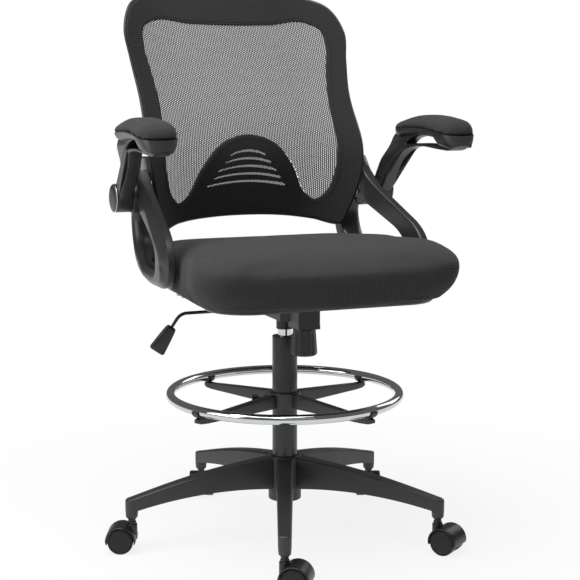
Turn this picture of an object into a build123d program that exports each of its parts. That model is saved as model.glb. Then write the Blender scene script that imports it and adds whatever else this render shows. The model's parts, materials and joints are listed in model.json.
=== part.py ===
"""Drafting chair: five-legged caster base, gas column with a foot ring, tilt seat, mesh back, flip-up arms.

Millimetres. +Z is up, the sitter looks towards -Y and the origin is on the floor under the column.
"""

from math import cos, radians, sin, tan

from build123d import *
import os

os.makedirs("parts", exist_ok=True)

# Clearances
RUNNING_FIT = 0.05
FACE_GAP = 0.3

# Star base
BASE_TURN = 248.0
LEG_COUNT = 5
CASTER_RADIUS = 315.0
HUB_RADIUS = 33.0
HUB_TOP = 169.0
HUB_BOTTOM = 79.0
LEG_ROOT_WIDTH = 34.0
LEG_TIP_WIDTH = 25.0
LEG_ROOT_TOP = 165.0
LEG_TIP_TOP = 102.0
LEG_ROOT_UNDERSIDE = 103.0
LEG_MID_UNDERSIDE = 103.0
LEG_TIP_UNDERSIDE = 81.0
LEG_WALL = 4.0
LEG_EDGE_ROUND = 3.0
TIP_BOSS_BOTTOM = 68.6
SOCKET_DEPTH = 24.0

# Casters
WHEEL_RADIUS = 25.0
WHEEL_WIDTH = 19.0
WHEEL_CENTRES = 32.0
WHEEL_EDGE_ROUND = 3.0
CASTER_TRAIL = 21.0
AXLE_RADIUS = 3.0
STEM_RADIUS = 5.5
STEM_NECK_RADIUS = 8.5
HOOD_RADIUS = 30.0
HOOD_WALL = 3.5
HOOD_HALF_WIDTH = 26.5
HOOD_LOW_EDGE = 20.0
HOOD_BOSS_RADIUS = 10.5
HOOD_BOSS_TOP = 56.0
CASTER_HEADINGS = (-35.0, -55.0, 68.0, 68.0, 158.0)

# Gas column
TUBE_RADIUS = 25.0
TUBE_WALL = 2.0
TUBE_TOP = 410.0
TUBE_TAPER = 1.2
TUBE_FLOOR_THICKNESS = 4.0
BUSH_LENGTH = 80.0
BUSH_FLANGE = 2.5
CYLINDER_RADIUS = 14.0
CYLINDER_WALL = 2.4
CYLINDER_BOTTOM = 125.0
CYLINDER_CAP = 8.0
CYLINDER_TOP = 458.0
CYLINDER_TAPER = 0.8
TAPER_BOTTOM = 427.0
LIFT_STROKE = 200.0
ROD_RADIUS = 5.0
PISTON_LENGTH = 12.0
RACE_THICKNESS = 3.0
RACE_RADIUS = 16.0
BALL_RADIUS = 2.5
BALL_COUNT = 8
BALL_CIRCLE = 11.5
VALVE_PIN_RADIUS = 3.5

# Foot ring
RING_RADIUS = 228.5
RING_TUBE_RADIUS = 9.5
RING_HEIGHT = 296.0
SPOKE_COUNT = 4
SPOKE_TURN = BASE_TURN + 45.0
SPOKE_ROOT_WIDTH = 18.0
SPOKE_TIP_WIDTH = 13.0
SPOKE_ROOT_DEPTH = 29.0
SPOKE_TIP_DEPTH = 12.0
COLLAR_WALL = 8.0
COLLAR_HEIGHT = 34.0
CLIP_WIDTH = 16.0
CLIP_WALL = 3.5
CLAMP_TURN = BASE_TURN - 90.0
CLAMP_SCREW_RADIUS = 4.0
CLAMP_WING_REACH = 66.0

# Tilt mechanism
HOUSING_HALF_WIDTH = 34.0
HOUSING_NOSE_HALF_WIDTH = 22.5
HOUSING_FRONT = -128.0
HOUSING_REAR = 52.0
HOUSING_FLOOR = 452.0
HOUSING_TOP = 493.0
HOUSING_REAR_TOP = 474.0
HOUSING_WALL = 3.0
SOCKET_RADIUS = 17.0
PIVOT_Y = -40.0
PIVOT_Z = 484.0
PIVOT_PIN_RADIUS = 5.0
SPRING_WIRE = 5.0
SPRING_TURNS = 6
PLATE_UNDERSIDE = 499.0
PLATE_THICKNESS = 3.0
PLATE_WIDTH = 190.0
PLATE_FRONT = -112.0
PLATE_REAR = 118.0
KNOB_Y = -100.0
KNOB_TOP = 444.0
KNOB_BOTTOM = 391.0
KNOB_TOP_RADIUS = 22.0
KNOB_BOTTOM_RADIUS = 25.5
KNOB_FLUTES = 10
KNOB_BOLT_RADIUS = 5.0
LEVER_Z = 470.0
LEVER_PIVOT_X = -24.0
LEVER_ROD_RADIUS = 3.25
LEVER_BEND_X = -217.0
LEVER_DROP_ANGLE = 55.0
LEVER_STROKE = 10.0
TRUNNION_RADIUS = 4.0
PADDLE_LENGTH = 57.0
PADDLE_NECK = 9.0
PADDLE_END = 16.5
PADDLE_THICKNESS = 13.0
PADDLE_OFFSET = 30.0

# Seat
PAN_THICKNESS = 10.0
PAN_INSET = 28.0
CUSHION_LIP = 1.5
SEAT_FRONT = -285.0
SEAT_REAR = 205.0
SEAT_FRONT_HALF_WIDTH = 261.0
SEAT_REAR_HALF_WIDTH = 222.0
SEAT_CORNER_RADIUS = 78.0
SEAT_CROWN = 604.0
SEAT_WIDEST = 560.0

# Arm brackets
BRACKET_THICKNESS = 27.0
BRACKET_FRONT_INNER = 254.0
BRACKET_REAR_INNER = 220.0
BRACKET_BAND_FRONT = -140.0
BRACKET_BAND_REAR = 230.0
BRACKET_EDGE_ROUND = 4.0
ARM_PIVOT_Y = 160.0
ARM_PIVOT_Z = 683.0
ARM_PIN_RADIUS = 6.0
ARM_BOSS_RADIUS = 30.0
ARM_INNER = 269.0
ARM_THICKNESS = 29.0
ARM_TOE_OUT = 2.4
CAP_RADIUS = 27.0
CAP_THICKNESS = 6.0
ARM_TOP_REAR_Y = 82.0
ARM_TOP_REAR_Z = 811.0
ARM_TOP_MID_Z = 821.0
ARM_TOP_FRONT_Y = -180.0
ARM_TOP_FRONT_Z = 805.0
PAD_WIDTH = 78.0
PAD_HEIGHT = 30.0
PAD_SETBACK = 12.0

# Back
BACK_TOP = 1100.0
LUMBAR_LEVEL = 773.0
UPPER_BACK = BACK_TOP - LUMBAR_LEVEL
UPPER_SHARES = (67 / 327, 157 / 327, 247 / 327, 331 / 327)
WAIST_SHARE = 97 / 327
BACK_LEVELS = (608.0, 690.0, LUMBAR_LEVEL) + tuple(LUMBAR_LEVEL + UPPER_BACK * share for share in UPPER_SHARES)
BACK_CENTRES = (224.0, 208.0, 197.0, 214.0, 261.0, 307.0, 347.0)
BACK_EDGES = (160.0, 140.0, 131.0, 168.0, 222.0, 262.0, 298.0)
BACK_HALF_WIDTHS = (196.0, 214.0, 231.0, 233.0, 240.0, 247.0, 246.0)
BACK_BAND = 262.0
BACK_BOTTOM_MID = 633.0
BACK_BOTTOM_CORNER = 612.0
COVER_THICKNESS = 7.0
FRAME_THICKNESS = 10.0
RIM_WIDTH = 4.0
MESH_THICKNESS = 2.0
MESH_SETBACK = 2.5
SLOT_COUNT = 5
SLOT_TOP = 773.0
SLOT_PITCH = 16.0
SLOT_HALF_LENGTHS = (41.0, 52.0, 63.0, 75.0, 86.0)
SLOT_HEIGHT = 4.0
SLOT_RISE = 7.0

# Screws
SCREW_RADIUS = 3.0
SCREW_HEAD_RADIUS = 6.5
SCREW_HEAD = 4.0
SCREW_GRIP = 8.0


def save(block, name):
    """Label a finished piece and write its file."""
    block.part.label = name
    export_step(block.part, f"parts/{name}.step")


def ring_piece(inner, outer, low, high):
    """A plain ring about the column axis."""
    with BuildPart() as ring:
        with BuildSketch(Plane.XY.offset(low)):
            Circle(outer)
            Circle(inner, mode=Mode.SUBTRACT)
        extrude(amount=high - low)
    return ring


# Star base: hub, five hollow legs and their caster sockets
LEG_END = CASTER_RADIUS + LEG_TIP_WIDTH / 2
LEG_UNDERSIDE_END = CASTER_RADIUS - LEG_TIP_WIDTH / 2
SOCKET_TOP = TIP_BOSS_BOTTOM + SOCKET_DEPTH
TUBE_BOTTOM = HUB_BOTTOM + 3.0


def leg_plan(inset):
    """Plan outline of a leg, drawn in by a wall thickness."""
    root = LEG_ROOT_WIDTH / 2 - inset
    tip = LEG_TIP_WIDTH / 2 - inset
    start = HUB_RADIUS + inset if inset else 0
    finish = LEG_UNDERSIDE_END - inset if inset else CASTER_RADIUS
    with BuildSketch() as plan:
        with BuildLine():
            Line((start, -root), (finish, -tip))
            if inset:
                Line((finish, -tip), (finish, tip))
            else:
                ThreePointArc((finish, -tip), (finish + tip, 0), (finish, tip))
            Polyline((finish, tip), (start, root), (start, -root))
        make_face()
    return plan.sketch


def leg_side(drop):
    """Side outline of a leg, its top lowered by a wall thickness."""
    middle = (HUB_RADIUS + LEG_UNDERSIDE_END) / 2
    with BuildSketch(Plane.XZ) as side:
        with BuildLine():
            Polyline(
                (HUB_RADIUS, LEG_ROOT_UNDERSIDE),
                (0, LEG_ROOT_UNDERSIDE),
                (0, LEG_ROOT_TOP - drop),
                (HUB_RADIUS, LEG_ROOT_TOP - drop),
                (LEG_END, LEG_TIP_TOP - drop),
                (LEG_END, LEG_TIP_UNDERSIDE),
                (LEG_UNDERSIDE_END, LEG_TIP_UNDERSIDE),
            )
            ThreePointArc(
                (LEG_UNDERSIDE_END, LEG_TIP_UNDERSIDE),
                (middle, LEG_MID_UNDERSIDE),
                (HUB_RADIUS, LEG_ROOT_UNDERSIDE),
            )
        make_face()
    return side.sketch


with BuildPart() as leg_channel:
    extrude(leg_side(LEG_WALL), amount=LEG_ROOT_WIDTH, both=True)
    extrude(leg_plan(LEG_WALL), amount=LEG_ROOT_TOP, mode=Mode.INTERSECT)

with BuildPart() as leg:
    extrude(leg_side(0), amount=LEG_ROOT_WIDTH, both=True)
    extrude(leg_plan(0), amount=LEG_ROOT_TOP, mode=Mode.INTERSECT)
    slope = leg.faces().filter_by(lambda f: f.normal_at().Z > 0.5).sort_by(Axis.X)[-1]
    chamfer(slope.edges().sort_by(Axis.X)[1:], LEG_EDGE_ROUND)
    add(leg_channel.part, mode=Mode.SUBTRACT)
    with BuildSketch(Plane.XY.offset(TIP_BOSS_BOTTOM)):
        with Locations((CASTER_RADIUS, 0)):
            Circle(LEG_TIP_WIDTH / 2)
    extrude(amount=LEG_TIP_UNDERSIDE - TIP_BOSS_BOTTOM)
    with BuildSketch(Plane.XY.offset(TIP_BOSS_BOTTOM)):
        with Locations((CASTER_RADIUS, 0)):
            Circle(STEM_RADIUS + RUNNING_FIT)
    extrude(amount=SOCKET_DEPTH, mode=Mode.SUBTRACT)

with BuildPart() as star_base:
    with BuildSketch(Plane.XY.offset(HUB_BOTTOM)):
        Circle(HUB_RADIUS)
    extrude(amount=HUB_TOP - HUB_BOTTOM)
    fillet(star_base.edges().group_by(Axis.Z)[-1], LEG_EDGE_ROUND)
    with PolarLocations(0, LEG_COUNT, start_angle=BASE_TURN):
        add(leg.part)
    with BuildSketch(Plane.XZ):
        with BuildLine():
            Polyline(
                (0, HUB_BOTTOM - 1),
                (TUBE_RADIUS - TUBE_TAPER, HUB_BOTTOM - 1),
                (TUBE_RADIUS - TUBE_TAPER, TUBE_BOTTOM),
                (TUBE_RADIUS, HUB_TOP),
                (0, HUB_TOP),
                close=True,
            )
        make_face()
    revolve(axis=Axis.Z, mode=Mode.SUBTRACT)
save(star_base, "star_base")


# Gas column: outer tube, guide bush, thrust bearing, rod, cylinder and valve pin
TUBE_FLOOR = TUBE_BOTTOM + TUBE_FLOOR_THICKNESS
TUBE_BORE = TUBE_RADIUS - TUBE_WALL
BUSH_BOTTOM = TUBE_TOP - BUSH_LENGTH
with BuildPart() as column_tube:
    with BuildSketch(Plane.XZ):
        with BuildLine():
            Polyline(
                (ROD_RADIUS + RUNNING_FIT, TUBE_BOTTOM),
                (TUBE_RADIUS - TUBE_TAPER, TUBE_BOTTOM),
                (TUBE_RADIUS, HUB_TOP),
                (TUBE_RADIUS, TUBE_TOP),
                (TUBE_BORE, TUBE_TOP),
                (TUBE_BORE, HUB_TOP),
                (TUBE_BORE - TUBE_TAPER, TUBE_FLOOR),
                (ROD_RADIUS + RUNNING_FIT, TUBE_FLOOR),
                close=True,
            )
        make_face()
    revolve(axis=Axis.Z)
save(column_tube, "column_tube")

with BuildPart() as guide_bush:
    with BuildSketch(Plane.XY.offset(BUSH_BOTTOM)):
        Circle(TUBE_BORE)
    extrude(amount=BUSH_LENGTH)
    with BuildSketch(Plane.XY.offset(TUBE_TOP)):
        Circle(TUBE_RADIUS)
    extrude(amount=BUSH_FLANGE)
    chamfer(guide_bush.edges().group_by(Axis.Z)[-1], BUSH_FLANGE / 2)
    with BuildSketch(Plane.XY.offset(BUSH_BOTTOM)):
        Circle(CYLINDER_RADIUS + RUNNING_FIT)
    extrude(amount=BUSH_LENGTH + BUSH_FLANGE, mode=Mode.SUBTRACT)
save(guide_bush, "guide_bush")

BALL_CENTRE = TUBE_FLOOR + RACE_THICKNESS + BALL_RADIUS
UPPER_RACE_BOTTOM = TUBE_FLOOR + RACE_THICKNESS + 2 * BALL_RADIUS
lower_race = ring_piece(ROD_RADIUS + RUNNING_FIT, RACE_RADIUS, TUBE_FLOOR, TUBE_FLOOR + RACE_THICKNESS)
save(lower_race, "lower_race")

upper_race = ring_piece(ROD_RADIUS, RACE_RADIUS, UPPER_RACE_BOTTOM, UPPER_RACE_BOTTOM + RACE_THICKNESS)
save(upper_race, "upper_race")

with BuildPart() as ball_cage:
    with BuildSketch(Plane.XY.offset(BALL_CENTRE - BALL_RADIUS / 2)):
        Circle(RACE_RADIUS)
        Circle(ROD_RADIUS + FACE_GAP, mode=Mode.SUBTRACT)
    extrude(amount=BALL_RADIUS)
    with PolarLocations(BALL_CIRCLE, BALL_COUNT):
        with Locations((0, 0, BALL_CENTRE)):
            Sphere(BALL_RADIUS - FACE_GAP / 10, rotation=(90, 0, 0))
save(ball_cage, "ball_cage")

SHOULDER_BOTTOM = UPPER_RACE_BOTTOM + RACE_THICKNESS
CYLINDER_BORE = CYLINDER_RADIUS - CYLINDER_WALL
PISTON_BOTTOM = CYLINDER_BOTTOM + CYLINDER_CAP + LIFT_STROKE + FACE_GAP
CLIP_THICKNESS = 1.5
with BuildPart() as gas_rod:
    with BuildSketch(Plane.XZ):
        with BuildLine():
            Polyline(
                (0, TUBE_BOTTOM - 2 * CLIP_THICKNESS),
                (ROD_RADIUS, TUBE_BOTTOM - 2 * CLIP_THICKNESS),
                (ROD_RADIUS, SHOULDER_BOTTOM),
                (ROD_RADIUS + 3, SHOULDER_BOTTOM),
                (ROD_RADIUS + 3, SHOULDER_BOTTOM + RACE_THICKNESS),
                (ROD_RADIUS, SHOULDER_BOTTOM + RACE_THICKNESS),
                (ROD_RADIUS, PISTON_BOTTOM),
                (CYLINDER_BORE - RUNNING_FIT, PISTON_BOTTOM),
                (CYLINDER_BORE - RUNNING_FIT, PISTON_BOTTOM + PISTON_LENGTH),
                (0, PISTON_BOTTOM + PISTON_LENGTH),
                close=True,
            )
        make_face()
    revolve(axis=Axis.Z)
save(gas_rod, "gas_rod")

rod_clip = ring_piece(
    ROD_RADIUS, ROD_RADIUS + 3, TUBE_BOTTOM - CLIP_THICKNESS - FACE_GAP, TUBE_BOTTOM - FACE_GAP
)
save(rod_clip, "rod_clip")

with BuildPart() as gas_cylinder:
    with BuildSketch(Plane.XZ):
        with BuildLine():
            Polyline(
                (ROD_RADIUS + RUNNING_FIT, CYLINDER_BOTTOM),
                (CYLINDER_RADIUS, CYLINDER_BOTTOM),
                (CYLINDER_RADIUS, TAPER_BOTTOM),
                (CYLINDER_RADIUS - CYLINDER_TAPER, CYLINDER_TOP),
                (VALVE_PIN_RADIUS + RUNNING_FIT, CYLINDER_TOP),
                (VALVE_PIN_RADIUS + RUNNING_FIT, CYLINDER_TOP - CYLINDER_CAP),
                (CYLINDER_BORE, CYLINDER_TOP - CYLINDER_CAP),
                (CYLINDER_BORE, CYLINDER_BOTTOM + CYLINDER_CAP),
                (ROD_RADIUS + RUNNING_FIT, CYLINDER_BOTTOM + CYLINDER_CAP),
                close=True,
            )
        make_face()
    revolve(axis=Axis.Z)
save(gas_cylinder, "gas_cylinder")

VALVE_PIN_TOP = LEVER_Z - LEVER_ROD_RADIUS - FACE_GAP
with BuildPart() as valve_pin:
    with BuildSketch(Plane.XY.offset(CYLINDER_TOP - CYLINDER_CAP)):
        Circle(VALVE_PIN_RADIUS)
    extrude(amount=VALVE_PIN_TOP - CYLINDER_TOP + CYLINDER_CAP)
    chamfer(valve_pin.edges().group_by(Axis.Z)[-1], VALVE_PIN_RADIUS / 5)
save(valve_pin, "valve_pin")


# Casters: stem, hood, axle and a pair of wheels, drawn with the pivot on the Z axis and trailing along +X
STEM_BOTTOM = 32.0
WEB_HALF_WIDTH = (WHEEL_CENTRES - WHEEL_WIDTH) / 2 - 2 * FACE_GAP
WHEEL_OUTER_FACE = (WHEEL_CENTRES + WHEEL_WIDTH) / 2
AXLE_HALF_LENGTH = WHEEL_OUTER_FACE - WHEEL_EDGE_ROUND
with BuildPart() as stem:
    with BuildSketch(Plane.XY.offset(STEM_BOTTOM)):
        Circle(STEM_RADIUS)
    extrude(amount=SOCKET_TOP - STEM_BOTTOM - 1)
    with BuildSketch(Plane.XY.offset(HOOD_BOSS_TOP)):
        Circle(STEM_NECK_RADIUS)
    extrude(amount=TIP_BOSS_BOTTOM - FACE_GAP - HOOD_BOSS_TOP)
    chamfer(stem.edges().group_by(Axis.Z)[-1], STEM_RADIUS / 5)

with BuildPart() as hood:
    with BuildSketch(Plane.XZ):
        with Locations((CASTER_TRAIL, WHEEL_RADIUS)):
            Circle(HOOD_RADIUS)
    extrude(amount=HOOD_HALF_WIDTH, both=True)
    fillet(hood.edges(), HOOD_WALL * 0.6)
    with BuildSketch(Plane.XY.offset(WHEEL_RADIUS)):
        Circle(HOOD_BOSS_RADIUS)
    extrude(amount=HOOD_BOSS_TOP - WHEEL_RADIUS)
    for side_plane in (Plane.XZ.offset(WEB_HALF_WIDTH), Plane.XZ.offset(-2 * HOOD_HALF_WIDTH)):
        with BuildSketch(side_plane):
            with Locations((CASTER_TRAIL, WHEEL_RADIUS)):
                Circle(HOOD_RADIUS - HOOD_WALL)
        extrude(amount=2 * HOOD_HALF_WIDTH - WEB_HALF_WIDTH, mode=Mode.SUBTRACT)
    split(bisect_by=Plane.XY.offset(HOOD_LOW_EDGE), keep=Keep.TOP)
    with BuildSketch(Plane.XZ):
        with Locations((CASTER_TRAIL, WHEEL_RADIUS)):
            Circle(AXLE_RADIUS)
    extrude(amount=HOOD_HALF_WIDTH, both=True, mode=Mode.SUBTRACT)
    with BuildSketch(Plane.XY.offset(STEM_BOTTOM)):
        Circle(STEM_RADIUS)
    extrude(amount=HOOD_BOSS_TOP - STEM_BOTTOM, mode=Mode.SUBTRACT)

with BuildPart() as axle:
    with BuildSketch(Plane.XZ):
        with Locations((CASTER_TRAIL, WHEEL_RADIUS)):
            Circle(AXLE_RADIUS)
    extrude(amount=AXLE_HALF_LENGTH, both=True)

with BuildPart() as wheels:
    for inner_face in (Plane.XZ.offset(WHEEL_OUTER_FACE - WHEEL_WIDTH), Plane.XZ.offset(-WHEEL_OUTER_FACE)):
        with BuildSketch(inner_face):
            with Locations((CASTER_TRAIL, WHEEL_RADIUS)):
                Circle(WHEEL_RADIUS)
        extrude(amount=WHEEL_WIDTH)
    fillet(wheels.edges().filter_by(GeomType.CIRCLE), WHEEL_EDGE_ROUND)
    with BuildSketch(Plane.XZ):
        with Locations((CASTER_TRAIL, WHEEL_RADIUS)):
            Circle(AXLE_RADIUS + RUNNING_FIT)
    extrude(amount=AXLE_HALF_LENGTH + FACE_GAP, both=True, mode=Mode.SUBTRACT)

for number, heading in enumerate(CASTER_HEADINGS):
    leg_angle = BASE_TURN + number * 360 / LEG_COUNT
    pivot_x = CASTER_RADIUS * cos(radians(leg_angle))
    pivot_y = CASTER_RADIUS * sin(radians(leg_angle))
    for piece, name in ((stem, "stem"), (hood, "hood"), (axle, "axle"), (wheels, "wheels")):
        with BuildPart() as placed:
            with Locations(Location((pivot_x, pivot_y, 0), (0, 0, heading))):
                add(piece.part)
        save(placed, f"caster_{number + 1}_{name}")


# Foot ring: collar with tapered spokes, the bright ring, its clips and the clamp screw
COLLAR_MID = RING_HEIGHT - RING_TUBE_RADIUS - CLIP_WALL
COLLAR_BOTTOM = COLLAR_MID - COLLAR_HEIGHT / 2
COLLAR_RADIUS = TUBE_RADIUS + RUNNING_FIT + COLLAR_WALL
SPOKE_TIP_TOP = RING_HEIGHT - RING_TUBE_RADIUS - CLIP_WALL
SPOKE_END = RING_RADIUS + RING_TUBE_RADIUS
with BuildPart() as spoke:
    with BuildSketch(Plane.XZ):
        with BuildLine():
            Polyline(
                (TUBE_RADIUS, COLLAR_MID - SPOKE_ROOT_DEPTH / 2),
                (SPOKE_END, SPOKE_TIP_TOP - SPOKE_TIP_DEPTH),
                (SPOKE_END, SPOKE_TIP_TOP),
                (SPOKE_END - 2 * RING_TUBE_RADIUS - CLIP_WALL, SPOKE_TIP_TOP),
                (TUBE_RADIUS, COLLAR_MID + SPOKE_ROOT_DEPTH / 2),
                close=True,
            )
        make_face()
    extrude(amount=SPOKE_ROOT_WIDTH, both=True)
    with BuildSketch(Plane.XY):
        with BuildLine():
            Polyline(
                (TUBE_RADIUS, -SPOKE_ROOT_WIDTH / 2),
                (SPOKE_END, -SPOKE_TIP_WIDTH / 2),
                (SPOKE_END, SPOKE_TIP_WIDTH / 2),
                (TUBE_RADIUS, SPOKE_ROOT_WIDTH / 2),
                close=True,
            )
        make_face()
    extrude(amount=RING_HEIGHT + COLLAR_HEIGHT, mode=Mode.INTERSECT)

CLAMP_PLANE = Plane(
    origin=(0, 0, COLLAR_MID),
    x_dir=(-sin(radians(CLAMP_TURN)), cos(radians(CLAMP_TURN)), 0),
    z_dir=(cos(radians(CLAMP_TURN)), sin(radians(CLAMP_TURN)), 0),
)
CLAMP_BOSS_RADIUS = CLAMP_SCREW_RADIUS + 4.0
CLAMP_BOSS_END = COLLAR_RADIUS + 8.0
WING_DEPTH = 13.0
WING_LENGTH = 34.0
WING_HEIGHT = 15.0
with BuildPart() as ring_hub:
    with BuildSketch(Plane.XY.offset(COLLAR_BOTTOM)):
        Circle(COLLAR_RADIUS)
    extrude(amount=COLLAR_HEIGHT)
    chamfer(ring_hub.edges(), COLLAR_WALL / 4)
    with PolarLocations(0, SPOKE_COUNT, start_angle=SPOKE_TURN):
        add(spoke.part)
    with BuildSketch(CLAMP_PLANE):
        Circle(CLAMP_BOSS_RADIUS)
    extrude(amount=CLAMP_BOSS_END)
    with BuildSketch(Plane.XY.offset(COLLAR_BOTTOM)):
        Circle(TUBE_RADIUS + RUNNING_FIT)
    extrude(amount=COLLAR_HEIGHT, mode=Mode.SUBTRACT)
    with BuildSketch(CLAMP_PLANE):
        Circle(CLAMP_SCREW_RADIUS + RUNNING_FIT)
    extrude(amount=CLAMP_BOSS_END, mode=Mode.SUBTRACT)
save(ring_hub, "ring_hub")

with BuildPart() as foot_ring:
    with Locations((0, 0, RING_HEIGHT)):
        Torus(RING_RADIUS, RING_TUBE_RADIUS)
save(foot_ring, "foot_ring")

with BuildPart() as ring_clips:
    with BuildSketch(Plane.XY.offset(SPOKE_TIP_TOP)):
        with PolarLocations(RING_RADIUS, SPOKE_COUNT, start_angle=SPOKE_TURN):
            Rectangle(2 * (RING_TUBE_RADIUS + CLIP_WALL), CLIP_WIDTH)
    extrude(amount=RING_TUBE_RADIUS + CLIP_WALL)
    add(foot_ring.part, mode=Mode.SUBTRACT)
save(ring_clips, "ring_clips")

with BuildPart() as clamp_knob:
    with BuildSketch(CLAMP_PLANE.offset(TUBE_RADIUS + FACE_GAP)):
        Circle(CLAMP_SCREW_RADIUS)
    extrude(amount=CLAMP_WING_REACH - WING_DEPTH - TUBE_RADIUS - FACE_GAP)
    with BuildSketch(CLAMP_PLANE.offset(CLAMP_WING_REACH - WING_DEPTH)):
        SlotOverall(WING_LENGTH, WING_HEIGHT)
    extrude(amount=WING_DEPTH)
    fillet(clamp_knob.faces().sort_by(SortBy.DISTANCE)[-1].edges(), WING_DEPTH / 6)
save(clamp_knob, "clamp_knob")


# Tilt mechanism: housing tray with the column socket, seat plate, pivot pin, spring, knob and lever
NOSE_REAR = KNOB_Y + (KNOB_Y - HOUSING_FRONT)
NOSE_FLARE = HOUSING_HALF_WIDTH - HOUSING_NOSE_HALF_WIDTH


def housing_plan(inset):
    """Plan outline of the housing tray, drawn in by a wall thickness."""
    nose = HOUSING_NOSE_HALF_WIDTH - inset
    body = HOUSING_HALF_WIDTH - inset
    flare = NOSE_REAR + NOSE_FLARE
    with BuildSketch() as plan:
        with BuildLine() as right_half:
            Polyline(
                (0, HOUSING_FRONT + inset),
                (nose, HOUSING_FRONT + inset),
                (nose, NOSE_REAR),
                (body, flare),
                (body, HOUSING_REAR - inset),
                (0, HOUSING_REAR - inset),
            )
            mirror(about=Plane.YZ)
        make_face()
    return plan.sketch


EAR_GAP = 12.0
EAR_THICKNESS = 4.0
EAR_HALF_LENGTH = 7.0
EAR_TOP = LEVER_Z + 2 * TRUNNION_RADIUS
LEVER_WINDOW = 2 * LEVER_ROD_RADIUS
with BuildPart() as tilt_housing:
    extrude(housing_plan(0).moved(Location((0, 0, HOUSING_FLOOR))), amount=HOUSING_TOP - HOUSING_FLOOR)
    fillet(tilt_housing.edges().filter_by(Axis.Z), HOUSING_WALL * 1.5)
    extrude(
        housing_plan(HOUSING_WALL).moved(Location((0, 0, HOUSING_FLOOR + HOUSING_WALL))),
        amount=HOUSING_TOP - HOUSING_FLOOR,
        mode=Mode.SUBTRACT,
    )
    with BuildSketch(Plane.YZ):
        with BuildLine():
            Polyline(
                (PIVOT_Y + 3 * PIVOT_PIN_RADIUS, HOUSING_TOP),
                (HOUSING_REAR, HOUSING_REAR_TOP),
                (HOUSING_REAR, HOUSING_TOP),
                close=True,
            )
        make_face()
    extrude(amount=HOUSING_HALF_WIDTH, both=True, mode=Mode.SUBTRACT)
    with BuildSketch(Plane.XY.offset(KNOB_TOP + FACE_GAP)):
        with Locations((0, KNOB_Y)):
            RectangleRounded(2 * HOUSING_NOSE_HALF_WIDTH, NOSE_REAR - HOUSING_FRONT, HOUSING_WALL)
    extrude(amount=HOUSING_FLOOR - KNOB_TOP - FACE_GAP)
    with BuildSketch(Plane.XY.offset(TAPER_BOTTOM)):
        Circle(SOCKET_RADIUS)
    extrude(amount=CYLINDER_TOP - TAPER_BOTTOM)
    with BuildSketch(Plane.XY.offset(HOUSING_FLOOR)):
        with GridLocations(0, 2 * EAR_GAP + EAR_THICKNESS, 1, 2):
            with Locations((LEVER_PIVOT_X, 0)):
                Rectangle(2 * EAR_HALF_LENGTH, EAR_THICKNESS)
    extrude(amount=EAR_TOP - HOUSING_FLOOR)
    with BuildSketch(Plane.XZ):
        with BuildLine():
            Polyline(
                (0, TAPER_BOTTOM),
                (CYLINDER_RADIUS, TAPER_BOTTOM),
                (CYLINDER_RADIUS - CYLINDER_TAPER, CYLINDER_TOP),
                (0, CYLINDER_TOP),
                close=True,
            )
        make_face()
    revolve(axis=Axis.Z, mode=Mode.SUBTRACT)
    with BuildSketch(Plane.XZ):
        with Locations((LEVER_PIVOT_X, LEVER_Z)):
            Circle(TRUNNION_RADIUS + RUNNING_FIT)
    extrude(amount=EAR_GAP + EAR_THICKNESS, both=True, mode=Mode.SUBTRACT)
    with BuildSketch(Plane.YZ):
        with Locations((PIVOT_Y, PIVOT_Z)):
            Circle(PIVOT_PIN_RADIUS)
    extrude(amount=HOUSING_HALF_WIDTH, both=True, mode=Mode.SUBTRACT)
    with BuildSketch(Plane.YZ.offset(LEVER_PIVOT_X - EAR_HALF_LENGTH)):
        with Locations((0, LEVER_Z)):
            Circle(LEVER_WINDOW)
    extrude(amount=-HOUSING_HALF_WIDTH, mode=Mode.SUBTRACT)
    with BuildSketch(Plane.XY.offset(KNOB_TOP)):
        with Locations((0, KNOB_Y)):
            Circle(KNOB_BOLT_RADIUS + RUNNING_FIT)
    extrude(amount=HOUSING_TOP - KNOB_TOP, mode=Mode.SUBTRACT)
save(tilt_housing, "tilt_housing")

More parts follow.
